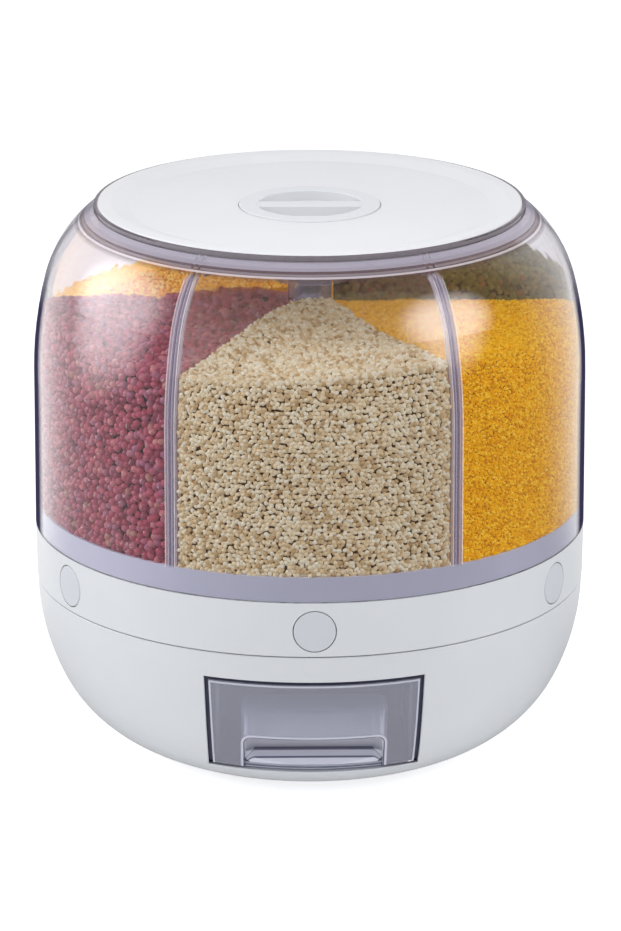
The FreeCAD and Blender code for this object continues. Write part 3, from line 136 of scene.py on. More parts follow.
class Shader:
    """A material, or the world, as nodes, with a few short ways to add them."""

    def __init__(self, name, kind=bpy.data.materials, output="ShaderNodeOutputMaterial"):
        self.owner = kind.new(name)
        self.owner.use_nodes = True
        self.tree = self.owner.node_tree
        self.tree.nodes.clear()
        self.output = self.add(output)

    def add(self, kind, **values):
        node = self.tree.nodes.new(kind)
        for name, value in values.items():
            setattr(node, name, value)
        return node

    def link(self, source, target):
        self.tree.links.new(source, target)

    def put(self, value, socket):
        """Links a value that is a socket, and sets any other. Colours are red, green and blue."""
        if isinstance(value, bpy.types.NodeSocket):
            self.link(value, socket)
        elif socket.type == "RGBA":
            socket.default_value = (*value, 1)
        else:
            socket.default_value = value

    def object_place(self):
        return self.add("ShaderNodeTexCoord").outputs["Object"]

    def noise(self, scale, detail=2.0, stretch=(1, 1, 1)):
        """Noise over the object's own space; scale is per metre."""
        place = self.object_place()
        if stretch != (1, 1, 1):
            mapping = self.add("ShaderNodeMapping")
            mapping.inputs["Scale"].default_value = stretch
            self.link(place, mapping.inputs["Vector"])
            place = mapping.outputs["Vector"]
        node = self.add("ShaderNodeTexNoise")
        node.inputs["Scale"].default_value = scale
        node.inputs["Detail"].default_value = detail
        self.link(place, node.inputs["Vector"])
        return node.outputs["Fac"]

    def ramp(self, factor, stops, interpolation="LINEAR"):
        node = self.add("ShaderNodeValToRGB")
        node.color_ramp.interpolation = interpolation
        elements = node.color_ramp.elements
        while len(elements) < len(stops):
            elements.new(0.5)
        for element, (place, colour) in zip(elements, stops):
            element.position = place
            element.color = (*colour, 1)
        self.link(factor, node.inputs["Fac"])
        return node.outputs["Color"]

    def span(self, factor, low, high, start=0.0, end=1.0, interpolation="LINEAR"):
        """Maps start..end to low..high."""
        node = self.add("ShaderNodeMapRange", interpolation_type=interpolation)
        node.inputs["From Min"].default_value = start
        node.inputs["From Max"].default_value = end
        node.inputs["To Min"].default_value = low
        node.inputs["To Max"].default_value = high
        self.link(factor, node.inputs["Value"])
        return node.outputs["Result"]

    def math(self, operation, first, second=None):
        node = self.add("ShaderNodeMath", operation=operation)
        self.put(first, node.inputs[0])
        if second is not None:
            self.put(second, node.inputs[1])
        return node.outputs["Value"]

    def vector(self, operation, first, second=None, output="Vector"):
        node = self.add("ShaderNodeVectorMath", operation=operation)
        self.put(first, node.inputs[0])
        if second is not None:
            self.put(second, node.inputs[1])
        return node.outputs[output]

    def dot(self, place, direction):
        return self.vector("DOT_PRODUCT", place, direction, "Value")

    def choose(self, factor, first, second):
        """The first shader where the factor is 0, the second where it is 1."""
        mix = self.add("ShaderNodeMixShader")
        self.link(factor, mix.inputs["Fac"])
        self.link(first, mix.inputs[1])
        self.link(second, mix.inputs[2])
        return mix.outputs["Shader"]

    def coat(self, under, colour, share):
        """An opaque coat of painted colour over a shader, which here carries painted light, shade and
        refraction lines. share is how much of it shows.
        """
        diffuse = self.add("ShaderNodeBsdfDiffuse")
        self.put(colour, diffuse.inputs["Color"])
        return self.choose(share, under, diffuse.outputs["BSDF"])

    def bump(self, height, strength, distance):
        node = self.add("ShaderNodeBump")
        node.inputs["Strength"].default_value = strength
        node.inputs["Distance"].default_value = distance
        self.link(height, node.inputs["Height"])
        return node.outputs["Normal"]

    def principled(self, **sockets):
        node = self.add("ShaderNodeBsdfPrincipled")
        for name, value in sockets.items():
            self.put(value, node.inputs[name.replace("_", " ")])
        return node.outputs["BSDF"]

    def emission(self, strength):
        node = self.add("ShaderNodeEmission")
        self.put(strength, node.inputs["Strength"])
        return node.outputs["Emission"]

    def background(self, colour, strength):
        node = self.add("ShaderNodeBackground")
        self.put(colour, node.inputs["Color"])
        self.put(strength, node.inputs["Strength"])
        return node.outputs["Background"]

    def finish(self, shader):
        self.link(shader, self.output.inputs["Surface"])
        return self.owner


def linear(red, green, blue):
    """A colour written as 0 to 255 in sRGB, as the linear numbers that nodes take."""
    def one(value):
        value /= 255
        return value / 12.92 if value <= 0.04045 else ((value + 0.055) / 1.055) ** 2.4
    return (one(red), one(green), one(blue))


def shade(colour, amount):
    return tuple(channel * amount for channel in colour)


def grey(value):
    return (value, value, value)


def moulded_plastic(name, colour, roughness=0.32, texture=0.03, coats=()):
    """Opaque moulded plastic: slight flow marks in its colour, fine texture in its gloss."""
    s = Shader(name)
    flow = s.noise(22, 3)
    base = s.ramp(flow, [(0.3, shade(colour, 0.975)), (0.7, colour)])
    gloss = s.span(s.noise(420, 2), roughness - 0.04, roughness + 0.05)
    normal = s.bump(s.noise(2600, 1), texture, 0.0002)
    shader = s.principled(Base_Color=base, Roughness=gloss, Normal=normal, IOR=1.5)
    for make in coats:
        shader = s.coat(shader, *make(s))
    return s.finish(shader)


def clear_plastic(name, tint, shadow, roughness=0.03, edge=None, painted_edge_from=0.8, clarity=1.0,
                  coats=()):
    """Clear plastic that lets the lamps' light through to what is behind it.

    shadow is the colour that the lamps' light gets. edge is a painted colour laid over the wall where
    it is seen along its surface, in place of the refraction and reflection there: painted shade on the
    shell and tray, a painted highlight on the drawer front and cup. coats are functions that give the
    colour and share of painted lines, such as painted refraction lines for those that thick plastic
    shows at its ribs.
    """
    s = Shader(name)
    base = s.ramp(s.noise(16, 2), [(0.3, shade(tint, 0.985)), (0.7, tint)])
    gloss = s.span(s.noise(60, 3), roughness * 0.6, roughness * 1.6)
    normal = s.bump(s.noise(34, 2), 0.05, 0.001)
    body = s.principled(Base_Color=base, Roughness=gloss, Normal=normal, IOR=1.49,
                        Transmission_Weight=clarity)
    for make in coats:
        body = s.coat(body, *make(s))
    # Painted rim: the edge colour covers the wall where it is seen along its surface, less above the
    # shoulders.
    if edge:
        facing = s.add("ShaderNodeLayerWeight")
        facing.inputs["Blend"].default_value = 0.5
        rim = s.ramp(facing.outputs["Facing"], [(painted_edge_from, grey(0)), (painted_edge_from + 0.07, grey(1))])
        height = s.dot(s.object_place(), (0, 0, 1))
        left = s.span(height, 1, SHOULDER_PAINTED_EDGE, SHOULDER_LOW, SHOULDER_HIGH)
        body = s.coat(body, edge, s.math("MULTIPLY", rim, left))
    film = s.add("ShaderNodeBsdfTransparent")
    s.put(shadow, film.inputs["Color"])
    in_shadow = s.add("ShaderNodeLightPath").outputs["Is Shadow Ray"]
    return s.finish(s.choose(in_shadow, body, film.outputs["BSDF"]))


def neck_painted_shade(s):
    """Painted bands on the neck and the rim of the hopper, one above the other: painted shade under the
    lid and at its edge, a painted highlight line, and pale painted light where the lid's skirt shows.
    """
    place = s.object_place()
    part = s.span(s.dot(place, (0, 0, 1)), 0, 1, NECK_TOP - NECK_PAINTED_BANDS, NECK_TOP)
    colour = s.ramp(part, [(0.0, linear(74, 56, 58)), (0.17, linear(220, 212, 220)),
                           (0.25, linear(80, 62, 66)), (0.44, linear(166, 160, 174)),
                           (0.76, linear(88, 78, 86))], "CONSTANT")
    share = s.ramp(part, [(0.0, grey(0)), (0.1, grey(0.3)), (0.25, grey(0.5)), (0.44, grey(0.5)),
                          (0.76, grey(0.42)), (0.80, grey(0.48)), (1.0, grey(0.48))])
    radius = s.vector("LENGTH", s.vector("MULTIPLY", place, (1, 1, 0)), output="Value")
    outside = s.span(radius, 0, 1, NECK_RADIUS, NECK_RADIUS + 0.5 * MM)
    return colour, s.math("MULTIPLY", share, outside)


def rib_painted_refraction(s):
    """Painted refraction lines, dark and light, of the ribs and the divider between them, by distance
    from the divider's plane.
    """
    place = s.object_place()
    near = None
    for angle in (0, 60, 120):
        turn = math.radians(angle)
        gap = s.math("ABSOLUTE", s.dot(place, (-math.sin(turn), math.cos(turn), 0)))
        near = gap if near is None else s.math("MINIMUM", near, gap)
    part = s.span(near, 0, 1, 0, RIB_REACH)
    colour = s.ramp(part, [(0.0, linear(104, 92, 112)), (0.16, linear(104, 92, 112)),
                           (0.26, linear(182, 174, 190)), (0.38, linear(176, 168, 184)),
                           (0.48, linear(98, 86, 104)), (0.62, linear(104, 94, 110)),
                           (0.72, linear(226, 220, 228)), (0.84, linear(222, 216, 222))])
    share = s.ramp(part, [(0.0, grey(0.42)), (0.82, grey(0.42)), (0.88, grey(0))])
    height = s.dot(place, (0, 0, 1))
    ends = NECK_TOP - NECK_PAINTED_BANDS
    share = s.math("MULTIPLY", share, s.span(height, 1, 0, ends - 3 * MM, ends))
    return colour, s.math("MULTIPLY", share, s.span(height, 0, 1, RIM_TOP - 1 * MM, RIM_TOP))


def side_and_height(s):
    """Distance from the drawer's middle plane, and height."""
    place = s.object_place()
    return s.math("ABSOLUTE", s.dot(place, (1, 0, 0))), s.dot(place, (0, 0, 1))


def notch_painted_lines(s):
    """Painted lines round the notch of the drawer front: dark painted shade at its edge, then a painted
    highlight.
    """
    side, height = side_and_height(s)
    across = s.math("MAXIMUM", s.math("SUBTRACT", side, NOTCH_HALF - NOTCH_CORNER), 0)
    above = s.math("MAXIMUM", s.math("SUBTRACT", height, NOTCH_TOP - NOTCH_CORNER), 0)
    away = s.math("SQRT", s.math("ADD", s.math("POWER", across, 2), s.math("POWER", above, 2)))
    part = s.span(away, 0, 1, NOTCH_CORNER, NOTCH_CORNER + LIP_REACH)
    dark = linear(72, 72, 96)
    colour = s.ramp(part, [(0.0, dark), (0.16, dark), (0.24, linear(214, 215, 226))])
    share = s.ramp(part, [(0.0, grey(0.7)), (0.16, grey(0.7)), (0.24, grey(0.5)), (0.5, grey(0.4)),
                          (0.62, grey(0))])
    return colour, share


def panel_painted_highlight(s):
    """A painted highlight line just inside the drawer front's sides and top."""
    side, height = side_and_height(s)
    half = s.span(height, PANEL_LOW_HALF, PANEL_HIGH[0], PANEL_LOW[2], PANEL_HIGH[2])
    near = s.math("MINIMUM", s.math("SUBTRACT", half, side), s.math("SUBTRACT", PANEL_HIGH[2], height))
    part = s.span(near, 0, 1, 0, OUTLINE_REACH)
    share = s.ramp(part, [(0.0, grey(0.1)), (0.12, grey(0.45)), (0.3, grey(0.45)), (0.44, grey(0))])
    return linear(214, 216, 228), share


def cup_painted_shade(s):
    """Painted shade on the cup's back wall: a dark painted line at its foot, painted light below it,
    and a middle shade up to a second painted shade line above.
    """
    side, height = side_and_height(s)
    bend = s.math("POWER", s.math("MAXIMUM", s.math("SUBTRACT", side, CUP_BEND_FROM), 0), 2)
    height = s.math("ADD", height, s.math("MULTIPLY", bend, CUP_BEND))
    part = s.span(height, 0, 1, CUP_LINES_LOW, CUP_LINES_LOW + 10 * MM)
    dark = linear(50, 48, 78)
    light = linear(190, 191, 204)
    middle = linear(138, 140, 156)
    colour = s.ramp(part, [(0.0, light), (0.34, light), (0.39, dark), (0.47, dark), (0.52, middle),
                           (0.84, middle), (0.87, dark)])
    share = s.ramp(part, [(0.0, grey(0.6)), (0.34, grey(0.6)), (0.39, grey(0.85)), (0.47, grey(0.85)),
                          (0.52, grey(0.5)), (0.84, grey(0.5)), (0.87, grey(0.7)), (0.9, grey(0.7)),
                          (0.93, grey(0))])
    return colour, share


def cup_painted_highlights(s):
    """Painted highlights: the bright upright streaks in the rounded corners of the cup."""
    side, height = side_and_height(s)
    streak = s.ramp(s.span(side, 0, 1, *CUP_STREAKS),
                    [(0.0, grey(0)), (0.16, grey(0)), (0.24, grey(0.22)), (0.34, grey(0.05)),
                     (0.6, grey(0.1)), (0.7, grey(0.85)), (0.8, grey(0.85)), (0.88, grey(0.1))])
    reach = s.ramp(s.span(height, 0, 1, *CUP_STREAK_HEIGHTS),
                   [(0.1, grey(0)), (0.26, grey(1)), (0.6, grey(0.8)), (0.74, grey(0.15)),
                    (1.0, grey(0.1))])
    return linear(252, 252, 255), s.math("MULTIPLY", streak, reach)


def painted_light_below_notch(s):
    """Painted light: pale where the lining of the drawer bay shows under the notch, like the notch's
    lit floor, against the bay's painted shade.
    """
    side, height = side_and_height(s)
    front = s.math("LESS_THAN", s.dot(s.object_place(), (0, 1, 0)), LINING_FRONT)
    low = s.math("LESS_THAN", height, LINING_LOW)
    within = s.math("LESS_THAN", side, NOTCH_HALF - 0.5 * MM)
    return linear(206, 207, 218), s.math("MULTIPLY", within, s.math("MULTIPLY", front, low))


def metal(name, colour, roughness, brushed=(1, 1, 1)):
    s = Shader(name)
    wear = s.noise(900, 3, brushed)
    base = s.ramp(wear, [(0.35, shade(colour, 0.85)), (0.65, colour)])
    gloss = s.span(wear, roughness * 0.7, roughness * 1.4)
    normal = s.bump(wear, 0.08, 0.0001)
    return s.finish(s.principled(Base_Color=base, Metallic=1.0, Roughness=gloss, Normal=normal))


def rubber(name, colour, roughness=0.6):
    s = Shader(name)
    grain = s.noise(1500, 3)
    base = s.ramp(grain, [(0.3, shade(colour, 0.85)), (0.7, colour)])
    normal = s.bump(grain, 0.25, 0.0002)
    return s.finish(s.principled(Base_Color=base, Roughness=s.span(grain, roughness, roughness + 0.15),
                                 Normal=normal, IOR=1.45))


def grain_skin(name, stops, roughness=0.45, mottle=0.12, shine=0.25, lift=0.0):
    """The skin of seeds. Each seed has its own tone, mottled a little.

    lift is a painted glow in the seed's own colour, given in place of the light that seeds scatter to
    each other through the clear walls.
    """
    s = Shader(name)
    tone = s.add("ShaderNodeAttribute", attribute_name="tone").outputs["Fac"]
    colour = s.ramp(tone, stops)
    patch = s.noise(900, 2)
    mix = s.add("ShaderNodeMix", data_type="RGBA", blend_type="MULTIPLY")
    mix.inputs["Factor"].default_value = 1.0
    s.link(colour, mix.inputs["A"])
    s.link(s.ramp(patch, [(0.3, grey(1 - mottle)), (0.7, grey(1))]), mix.inputs["B"])
    normal = s.bump(patch, 0.12, 0.0003)
    return s.finish(s.principled(Base_Color=mix.outputs["Result"], Normal=normal,
                                 Roughness=s.span(patch, roughness - 0.08, roughness + 0.1),
                                 Specular_IOR_Level=shine, Emission_Color=mix.outputs["Result"],
                                 Emission_Strength=lift))


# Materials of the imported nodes, by slot

MATERIALS = {
    "white_housing": moulded_plastic("white_housing", linear(191, 193, 196), 0.34),
    "white_lid": moulded_plastic("white_lid", linear(219, 219, 221), 0.38),
    "white_knob": moulded_plastic("white_knob", linear(211, 212, 215), 0.36),
    "white_button": moulded_plastic("white_button", linear(183, 185, 190), 0.30),
    "white_inner": moulded_plastic("white_inner", linear(206, 208, 212), 0.45),
    # The shell's edge is a painted dark outline; its coats are painted shade bands and refraction
    # lines.
    "clear_shell": clear_plastic("clear_shell", linear(252, 251, 254), linear(252, 252, 253), 0.03,
                                 edge=linear(50, 46, 70), painted_edge_from=0.775,
                                 coats=(neck_painted_shade, rib_painted_refraction)),
    "clear_divider": clear_plastic("clear_divider", linear(248, 247, 253), linear(250, 250, 252), 0.04,
                                   clarity=0.985),
    "clear_inner": clear_plastic("clear_inner", linear(236, 234, 246), linear(238, 238, 244), 0.08,
                                 clarity=0.85),
    # The drawer front's edge and outline are painted highlights; the notch gets painted lines.
    "smoke_front": clear_plastic("smoke_front", linear(210, 211, 224), linear(228, 229, 236), 0.05,
                                 edge=linear(206, 206, 216), painted_edge_from=0.78, clarity=0.78,
                                 coats=(notch_painted_lines, panel_painted_highlight)),
    # The tray's edge is painted shade where the wall is seen along its surface.
    "smoke_tray": clear_plastic("smoke_tray", linear(206, 208, 222), linear(232, 233, 240), 0.06,
                                edge=linear(84, 84, 104), painted_edge_from=0.84, clarity=0.6),
    "grey_rubber": rubber("grey_rubber", linear(92, 94, 98)),
    "silicone": rubber("silicone", linear(206, 208, 212), 0.45),
    "acetal": moulded_plastic("acetal", linear(206, 206, 204), 0.4),
    "steel_ball": metal("steel_ball", linear(198, 200, 204), 0.08),
    "steel_pin": metal("steel_pin", linear(190, 191, 194), 0.22, (1, 1, 0.05)),
    "steel_screw": metal("steel_screw", linear(182, 184, 188), 0.28),
    "spring_steel": metal("spring_steel", linear(176, 178, 182), 0.25),
}

# Nodes that look unlike the rest of their slot
OWN_MATERIALS = {
    "tray_rim": moulded_plastic("white_tray", linear(228, 228, 248), 0.42),
    # The drawer bay is painted shade in the gap round the drawer, with painted light under the notch.
    "drawer_bay": moulded_plastic("painted_shade_bay", linear(74, 74, 96), 0.5, coats=(painted_light_below_notch,)),
    # The cup's edge is a painted highlight; its coats are painted shade lines and highlight streaks.
    "finger_cup": clear_plastic("smoke_cup", linear(214, 214, 222), linear(232, 233, 240), 0.06,
                                edge=linear(240, 240, 246), painted_edge_from=0.72, clarity=0.4,
                                coats=(cup_painted_shade, cup_painted_highlights)),
}


# Shape of the hopper's inside

def wall_profile():
    """Inner radius of the clear shell over its height, felt along the middle of the front bay."""
    lowest, highest, steps = FLOOR_Z + 16 * MM, MOUTH_Z - 13 * MM, 80
    heights = np.linspace(lowest, highest, steps)
    shell = nodes["clear_shell"]
    radii = []
    for z in heights:
        found, place, _, _ = shell.ray_cast(Vector((0, 0, z)), Vector((0, -1, 0)))
        radii.append(-place.y if found else radii[-1])
    return heights, np.array(radii)


bpy.context.view_layer.update()
WALL_HEIGHTS, WALL_RADII = wall_profile()


def wall_radius(z):
    z = np.asarray(z, float)
    radius = np.interp(z, WALL_HEIGHTS, WALL_RADII)
    return np.where(z < RIM_TOP, radius - TRAY_INSET, radius)


def wall_slope(z):
    step = 1.0 * MM
    above = np.interp(z + step, WALL_HEIGHTS, WALL_RADII)
    below = np.interp(z - step, WALL_HEIGHTS, WALL_RADII)
    return (above - below) / (2 * step)


class Heap:
    """The top of one bay's grain: heights along its two dividers, blended across the bay.

    right and left are points on the clockwise and on the anticlockwise divider, each a radius and
    a height in millimetres.
    """

    def __init__(self, right, left):
        self.right = np.array(right) * MM
        self.left = np.array(left) * MM
        self.waves = rng.uniform(0, 2 * math.pi, 6)[:3]

    def height(self, radius, side):
        """side runs from -1 at the clockwise divider to 1 at the anticlockwise one."""
        first = np.interp(radius, self.right[:, 0], self.right[:, 1])
        second = np.interp(radius, self.left[:, 0], self.left[:, 1])
        blend = (side + 1) / 2
        blend = blend * blend * (3 - 2 * blend)
        z = first * (1 - blend) + second * blend
        ripple = (np.sin(radius * 90 + side * 2.1 + self.waves[0])
                  + np.sin(radius * 150 - side * 5 + self.waves[1]) + np.sin(side * 7 + self.waves[2]))
        return z + HEAP_RIPPLE * ripple / 2


# Meshes

def new_mesh(name, points, faces, material, tone=None, smooth=True):
    mesh = bpy.data.meshes.new(name)
    points = np.asarray(points, dtype=np.float32)
    if isinstance(faces, np.ndarray):
        count = len(faces)
        corners = faces.shape[1]
        mesh.vertices.add(len(points))
        mesh.vertices.foreach_set("co", points.ravel())
        mesh.loops.add(count * corners)
        mesh.loops.foreach_set("vertex_index", faces.astype(np.int32).ravel())
        mesh.polygons.add(count)
        mesh.polygons.foreach_set("loop_start", np.arange(0, count * corners, corners, dtype=np.int32))
    else:
        mesh.from_pydata([tuple(map(float, p)) for p in points], [], faces)
    mesh.update(calc_edges=True)
    if tone is not None:
        mesh.attributes.new("tone", "FLOAT", "POINT").data.foreach_set("value", tone.astype(np.float32))
    mesh.polygons.foreach_set("use_smooth", np.full(len(mesh.polygons), smooth))
    mesh.materials.append(material)
    piece = bpy.data.objects.new(name, mesh)
    bpy.context.scene.collection.objects.link(piece)
    return piece


def tube_faces(rings, size):
    """Faces of a tube through rings of points, each ring of the given size, with both ends shut."""
    faces = []
    for ring in range(rings - 1):
        here, there = ring * size, (ring + 1) * size
        for i in range(size):
            j = (i + 1) % size
            faces.append((here + i, here + j, there + j, there + i))
    last = (rings - 1) * size
    faces.append(tuple(reversed(range(size))))
    faces.append(tuple(last + i for i in range(size)))
    return faces


def seed_ball(cuts):
    """A unit ball of triangles: an icosahedron, each face cut in four the given number of times."""
    golden = (1 + math.sqrt(5)) / 2
    corners = []
    for a in (-1, 1):
        for b in (-golden, golden):
            corners += [(0, a, b), (a, b, 0), (b, 0, a)]
    points = [Vector(c).normalized() for c in corners]
    reach = min((points[0] - p).length for p in points[1:]) * 1.01
    faces = [(i, j, k) for i in range(12) for j in range(i + 1, 12) for k in range(j + 1, 12)
             if (points[i] - points[j]).length < reach and (points[j] - points[k]).length < reach
             and (points[i] - points[k]).length < reach]
    for _ in range(cuts):
        middle = {}

        def between(i, j):
            key = (min(i, j), max(i, j))
            if key not in middle:
                middle[key] = len(points)
                points.append(((points[i] + points[j]) / 2).normalized())
            return middle[key]

        finer = []
        for i, j, k in faces:
            a, b, c = between(i, j), between(j, k), between(k, i)
            finer += [(i, a, c), (a, j, b), (c, b, k), (a, b, c)]
        faces = finer
    points = np.array([tuple(p) for p in points])
    faces = np.array(faces)
    for n, (i, j, k) in enumerate(faces):
        normal = np.cross(points[j] - points[i], points[k] - points[i])
        if normal @ points[i] < 0:
            faces[n] = (i, k, j)
    return points, faces


def turned(normals, tilt):
    """For each seed a frame whose third axis is near its normal, turned at random about it."""
    count = len(normals)
    third = normals + rng.normal(0, tilt, (count, 3))
    third /= np.linalg.norm(third, axis=1)[:, None]
    other = rng.normal(0, 1, (count, 3))
    first = np.cross(third, other)
    first /= np.linalg.norm(first, axis=1)[:, None]
    return np.stack([first, np.cross(third, first), third], axis=2)


def seeds(name, places, normals, sizes, cuts, material, tilt=0.25, spread=0.08):
    """Many ellipsoid seeds as one piece. sizes are the half axes, the last along the normal."""
    if len(places) == 0:
        return
    shape, faces = seed_ball(cuts)
    count = len(places)
    scales = np.array(sizes) * (1 + rng.normal(0, spread, (count, 3)).clip(-0.2, 0.2))
    frames = turned(normals, tilt)
    local = shape[None, :, :] * scales[:, None, :]
    points = np.einsum("nij,npj->npi", frames, local) + places[:, None, :]
    index = faces[None] + (np.arange(count) * len(shape))[:, None, None]
    tones = rng.uniform(0, 1, count)
    piece = new_mesh(name, points.reshape(-1, 3), index.reshape(-1, 3), material,
                     np.repeat(tones, len(shape)))
    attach(piece, "hopper")


def dress_nodes():
    for name, node in nodes.items():
        for place in node.material_slots:
            slot = place.material.name.split(".")[0]
            place.material = OWN_MATERIALS.get(name, MATERIALS[slot])


# Where the seeds lie

def bay_place(angle, radius, turn, z):
    """Points at a radius and at a turn from the bay's middle."""
    return np.stack([radius * np.cos(angle + turn), radius * np.sin(angle + turn), z], axis=1)


def plane_gap(radius, turn):
    """Distance of a point from the nearer of the bay's two divider planes."""
    return radius * np.sin(HALF_BAY - np.abs(turn))


def on_wall(angle, heap, pitch, depth, size, shift):
    """Seeds against the clear wall, in rows that are shaken out of line, up to the heap's top."""
    points, normals = [], []
    z = FLOOR_Z + size
    row = 0
    while z < MOUTH_Z:
        reach = HALF_BAY * float(wall_radius(z))
        along = np.arange(-reach, reach, pitch) + pitch * ((row + shift) % 2) / 2
        heights = z + rng.normal(0, SHAKE * pitch, len(along))
        along = along + rng.normal(0, SHAKE * pitch, len(along))
        slope = wall_slope(heights)
        lean = np.sqrt(1 + slope * slope)
        radius = wall_radius(heights) - depth / lean
        turn = along / radius
        heights = heights + slope * depth / lean
        side = turn / HALF_BAY
        room = plane_gap(radius, turn)
        deep = wall_radius(heights) - radius > RIB_DEPTH + size
        clear = np.where(deep, DIVIDER_HALF + size, RIB_HALF + size)
        keep = (np.abs(turn) < HALF_BAY) & (room > clear)
        keep &= heights < heap.height(radius, side) + TOP_MARGIN * size
        if not keep.any() and z > FLOOR_Z + LOWEST_HEAP:
            break
        way = angle + turn
        outward = np.stack([np.cos(way) / lean, np.sin(way) / lean, -slope / lean], axis=1)
        points.append(bay_place(angle, radius, turn, heights)[keep])
        normals.append(outward[keep])
        z += pitch * ROW_STEP
        row += 1
    return np.concatenate(points), np.concatenate(normals)


def on_top(angle, heap, pitch, depth, size):
    """Seeds over the top of the heap."""
    reach = float(WALL_RADII.max())
    rows = np.arange(0, reach, pitch * ROW_STEP)
    across = np.arange(-reach / 2, reach / 2, pitch)
    out, side = np.meshgrid(rows, across, indexing="ij")
    side = side + pitch / 2 * (np.arange(len(rows)) % 2)[:, None]
    out = (out + rng.normal(0, TOP_SHAKE * pitch, out.shape)).ravel()
    side = (side + rng.normal(0, TOP_SHAKE * pitch, side.shape)).ravel()
    radius = np.hypot(out, side)
    turn = np.arctan2(side, out)
    z = heap.height(radius, turn / HALF_BAY) - depth + rng.normal(0, TOP_UNEVEN * size, len(out))
    keep = (np.abs(turn) < HALF_BAY) & (radius > POST_RADIUS + size)
    keep &= plane_gap(radius, turn) > DIVIDER_HALF + size
    room = wall_radius(z) - radius
    keep &= room > size
    keep &= (room > RIB_DEPTH + size) | (plane_gap(radius, turn) > RIB_HALF + size)
    normals = np.tile((0.0, 0.0, 1.0), (keep.sum(), 1))
    return bay_place(angle, radius, turn, z)[keep], normals


def on_divider(angle, heap, pitch, size, side):
    """Seeds against a divider, in a band under the heap's top and in one along the wall."""
    rows = np.arange(FLOOR_Z + size, MOUTH_Z, pitch * ROW_STEP)
    outs = np.arange(POST_RADIUS + size, float(WALL_RADII.max()), pitch)
    z, out = np.meshgrid(rows, outs, indexing="ij")
    out = out + pitch / 2 * (np.arange(len(rows)) % 2)[:, None]
    z = (z + rng.normal(0, SHAKE * pitch, z.shape)).ravel()
    out = (out + rng.normal(0, SHAKE * pitch, out.shape)).ravel()
    gap = DIVIDER_HALF + size + np.abs(rng.normal(0, DIVIDER_UNEVEN * size, len(out)))
    turn = side * (HALF_BAY - np.arcsin(np.clip(gap / out, -1, 1)))
    top = heap.height(out, turn / HALF_BAY)
    room = wall_radius(z) - out
    keep = (z < top - TOP_MARGIN * size) & (room > RIB_DEPTH + size)
    keep &= (z > top - SIDE_BAND) | (room < SIDE_BAND)
    plane = angle + side * HALF_BAY
    normals = np.tile((-math.sin(plane) * side, math.cos(plane) * side, 0.0), (keep.sum(), 1))
    return bay_place(angle, out, turn, z)[keep], normals


def core(name, angle, heap, inset, material):
    """The dark inside of a heap, just under its outer seeds: painted shade for the gaps between them.
    """
    slices, wall_steps, top_steps = 26, 16, 24
    inner = POST_RADIUS + inset
    floor = FLOOR_Z + 0.5 * MM
    loops = []
    for k in range(slices + 1):
        part = -1 + 2 * k / slices
        section = []

        def at(radius, z):
            turn = part * (HALF_BAY - math.asin(min(1, (DIVIDER_HALF + inset) / radius)))
            section.append((radius * math.cos(angle + turn), radius * math.sin(angle + turn), z))

        near_rib = HALF_BAY * (1 - abs(part)) * float(WALL_RADII.max()) < RIB_HALF + inset
        far_gap = RIB_DEPTH + inset if near_rib else inset
        at(inner, floor)
        at(float(wall_radius(floor)) - far_gap, floor)
        rim = float(heap.height(np.array(NEAR_WALL), np.array(part))) - inset
        for z in np.linspace(floor + 12 * MM, rim, wall_steps):
            at(float(wall_radius(z)) - far_gap, z)
        last = float(wall_radius(rim)) - far_gap
        for radius in np.linspace(last, inner, top_steps)[1:]:
            at(radius, float(heap.height(np.array(radius), np.array(part))) - inset)
        loops.append(section)
    points = [p for section in loops for p in section]
    faces = tube_faces(len(loops), len(loops[0]))
    piece = new_mesh(name, points, faces, material, np.full(len(points), 0.5), smooth=False)
    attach(piece, "hopper")


def scars(name, places, normals, size, material):
    """Short pale marks on the faces of some of the seeds."""
    chosen = rng.uniform(0, 1, len(places)) < SCAR_SHARE
    out = normals[chosen] + rng.normal(0, 0.45, (chosen.sum(), 3))
    out /= np.linalg.norm(out, axis=1)[:, None]
    seeds(name, places[chosen] + out * size, out, SCAR_SIZES, 1, material, tilt=0.02)


def fill_bay(name, number, heap, sizes, pitch, cuts, stops, gap_shade_colour, roughness=0.45, mottle=0.12,
             shine=0.25, lift=0.0, scar=None):
    """Fills one bay with seeds. sizes are a seed's half axes, and the stops go through its tones."""
    angle = BAY_ANGLES[number - 1]
    skin = grain_skin(name + "_skin", stops, roughness, mottle, shine, lift)
    # The core's colour is painted shade for the gaps between seeds, and it glows by lift as well.
    inside = grain_skin(name + "_inside", [(0.0, shade(gap_shade_colour, 0.8)), (1.0, gap_shade_colour)], 0.8,
                        shine=0.1, lift=lift)
    half_thick = sizes[2]
    for layer in range(LAYERS):
        depth = half_thick * (WALL_DEPTH + NEXT_WALL_DEPTH * layer)
        places, normals = on_wall(angle, heap, pitch, depth, half_thick, layer)
        seeds(f"{name}_wall_{layer + 1}", places, normals, sizes, cuts, skin)
        if scar and layer == 0:
            scars(name + "_scars", places, normals, half_thick * SCAR_PLACE, scar)
        depth = half_thick * (TOP_DEPTH + NEXT_TOP_DEPTH * layer)
        places, normals = on_top(angle, heap, pitch, depth, half_thick)
        seeds(f"{name}_top_{layer + 1}", places, normals, sizes, cuts, skin)
    for side in (-1, 1):
        places, normals = on_divider(angle, heap, pitch, half_thick, side)
        seeds(f"{name}_side_{'left' if side > 0 else 'right'}", places, normals, sizes, cuts, skin)
    core(name + "_core", angle, heap, half_thick * CORE_DEPTH, inside)


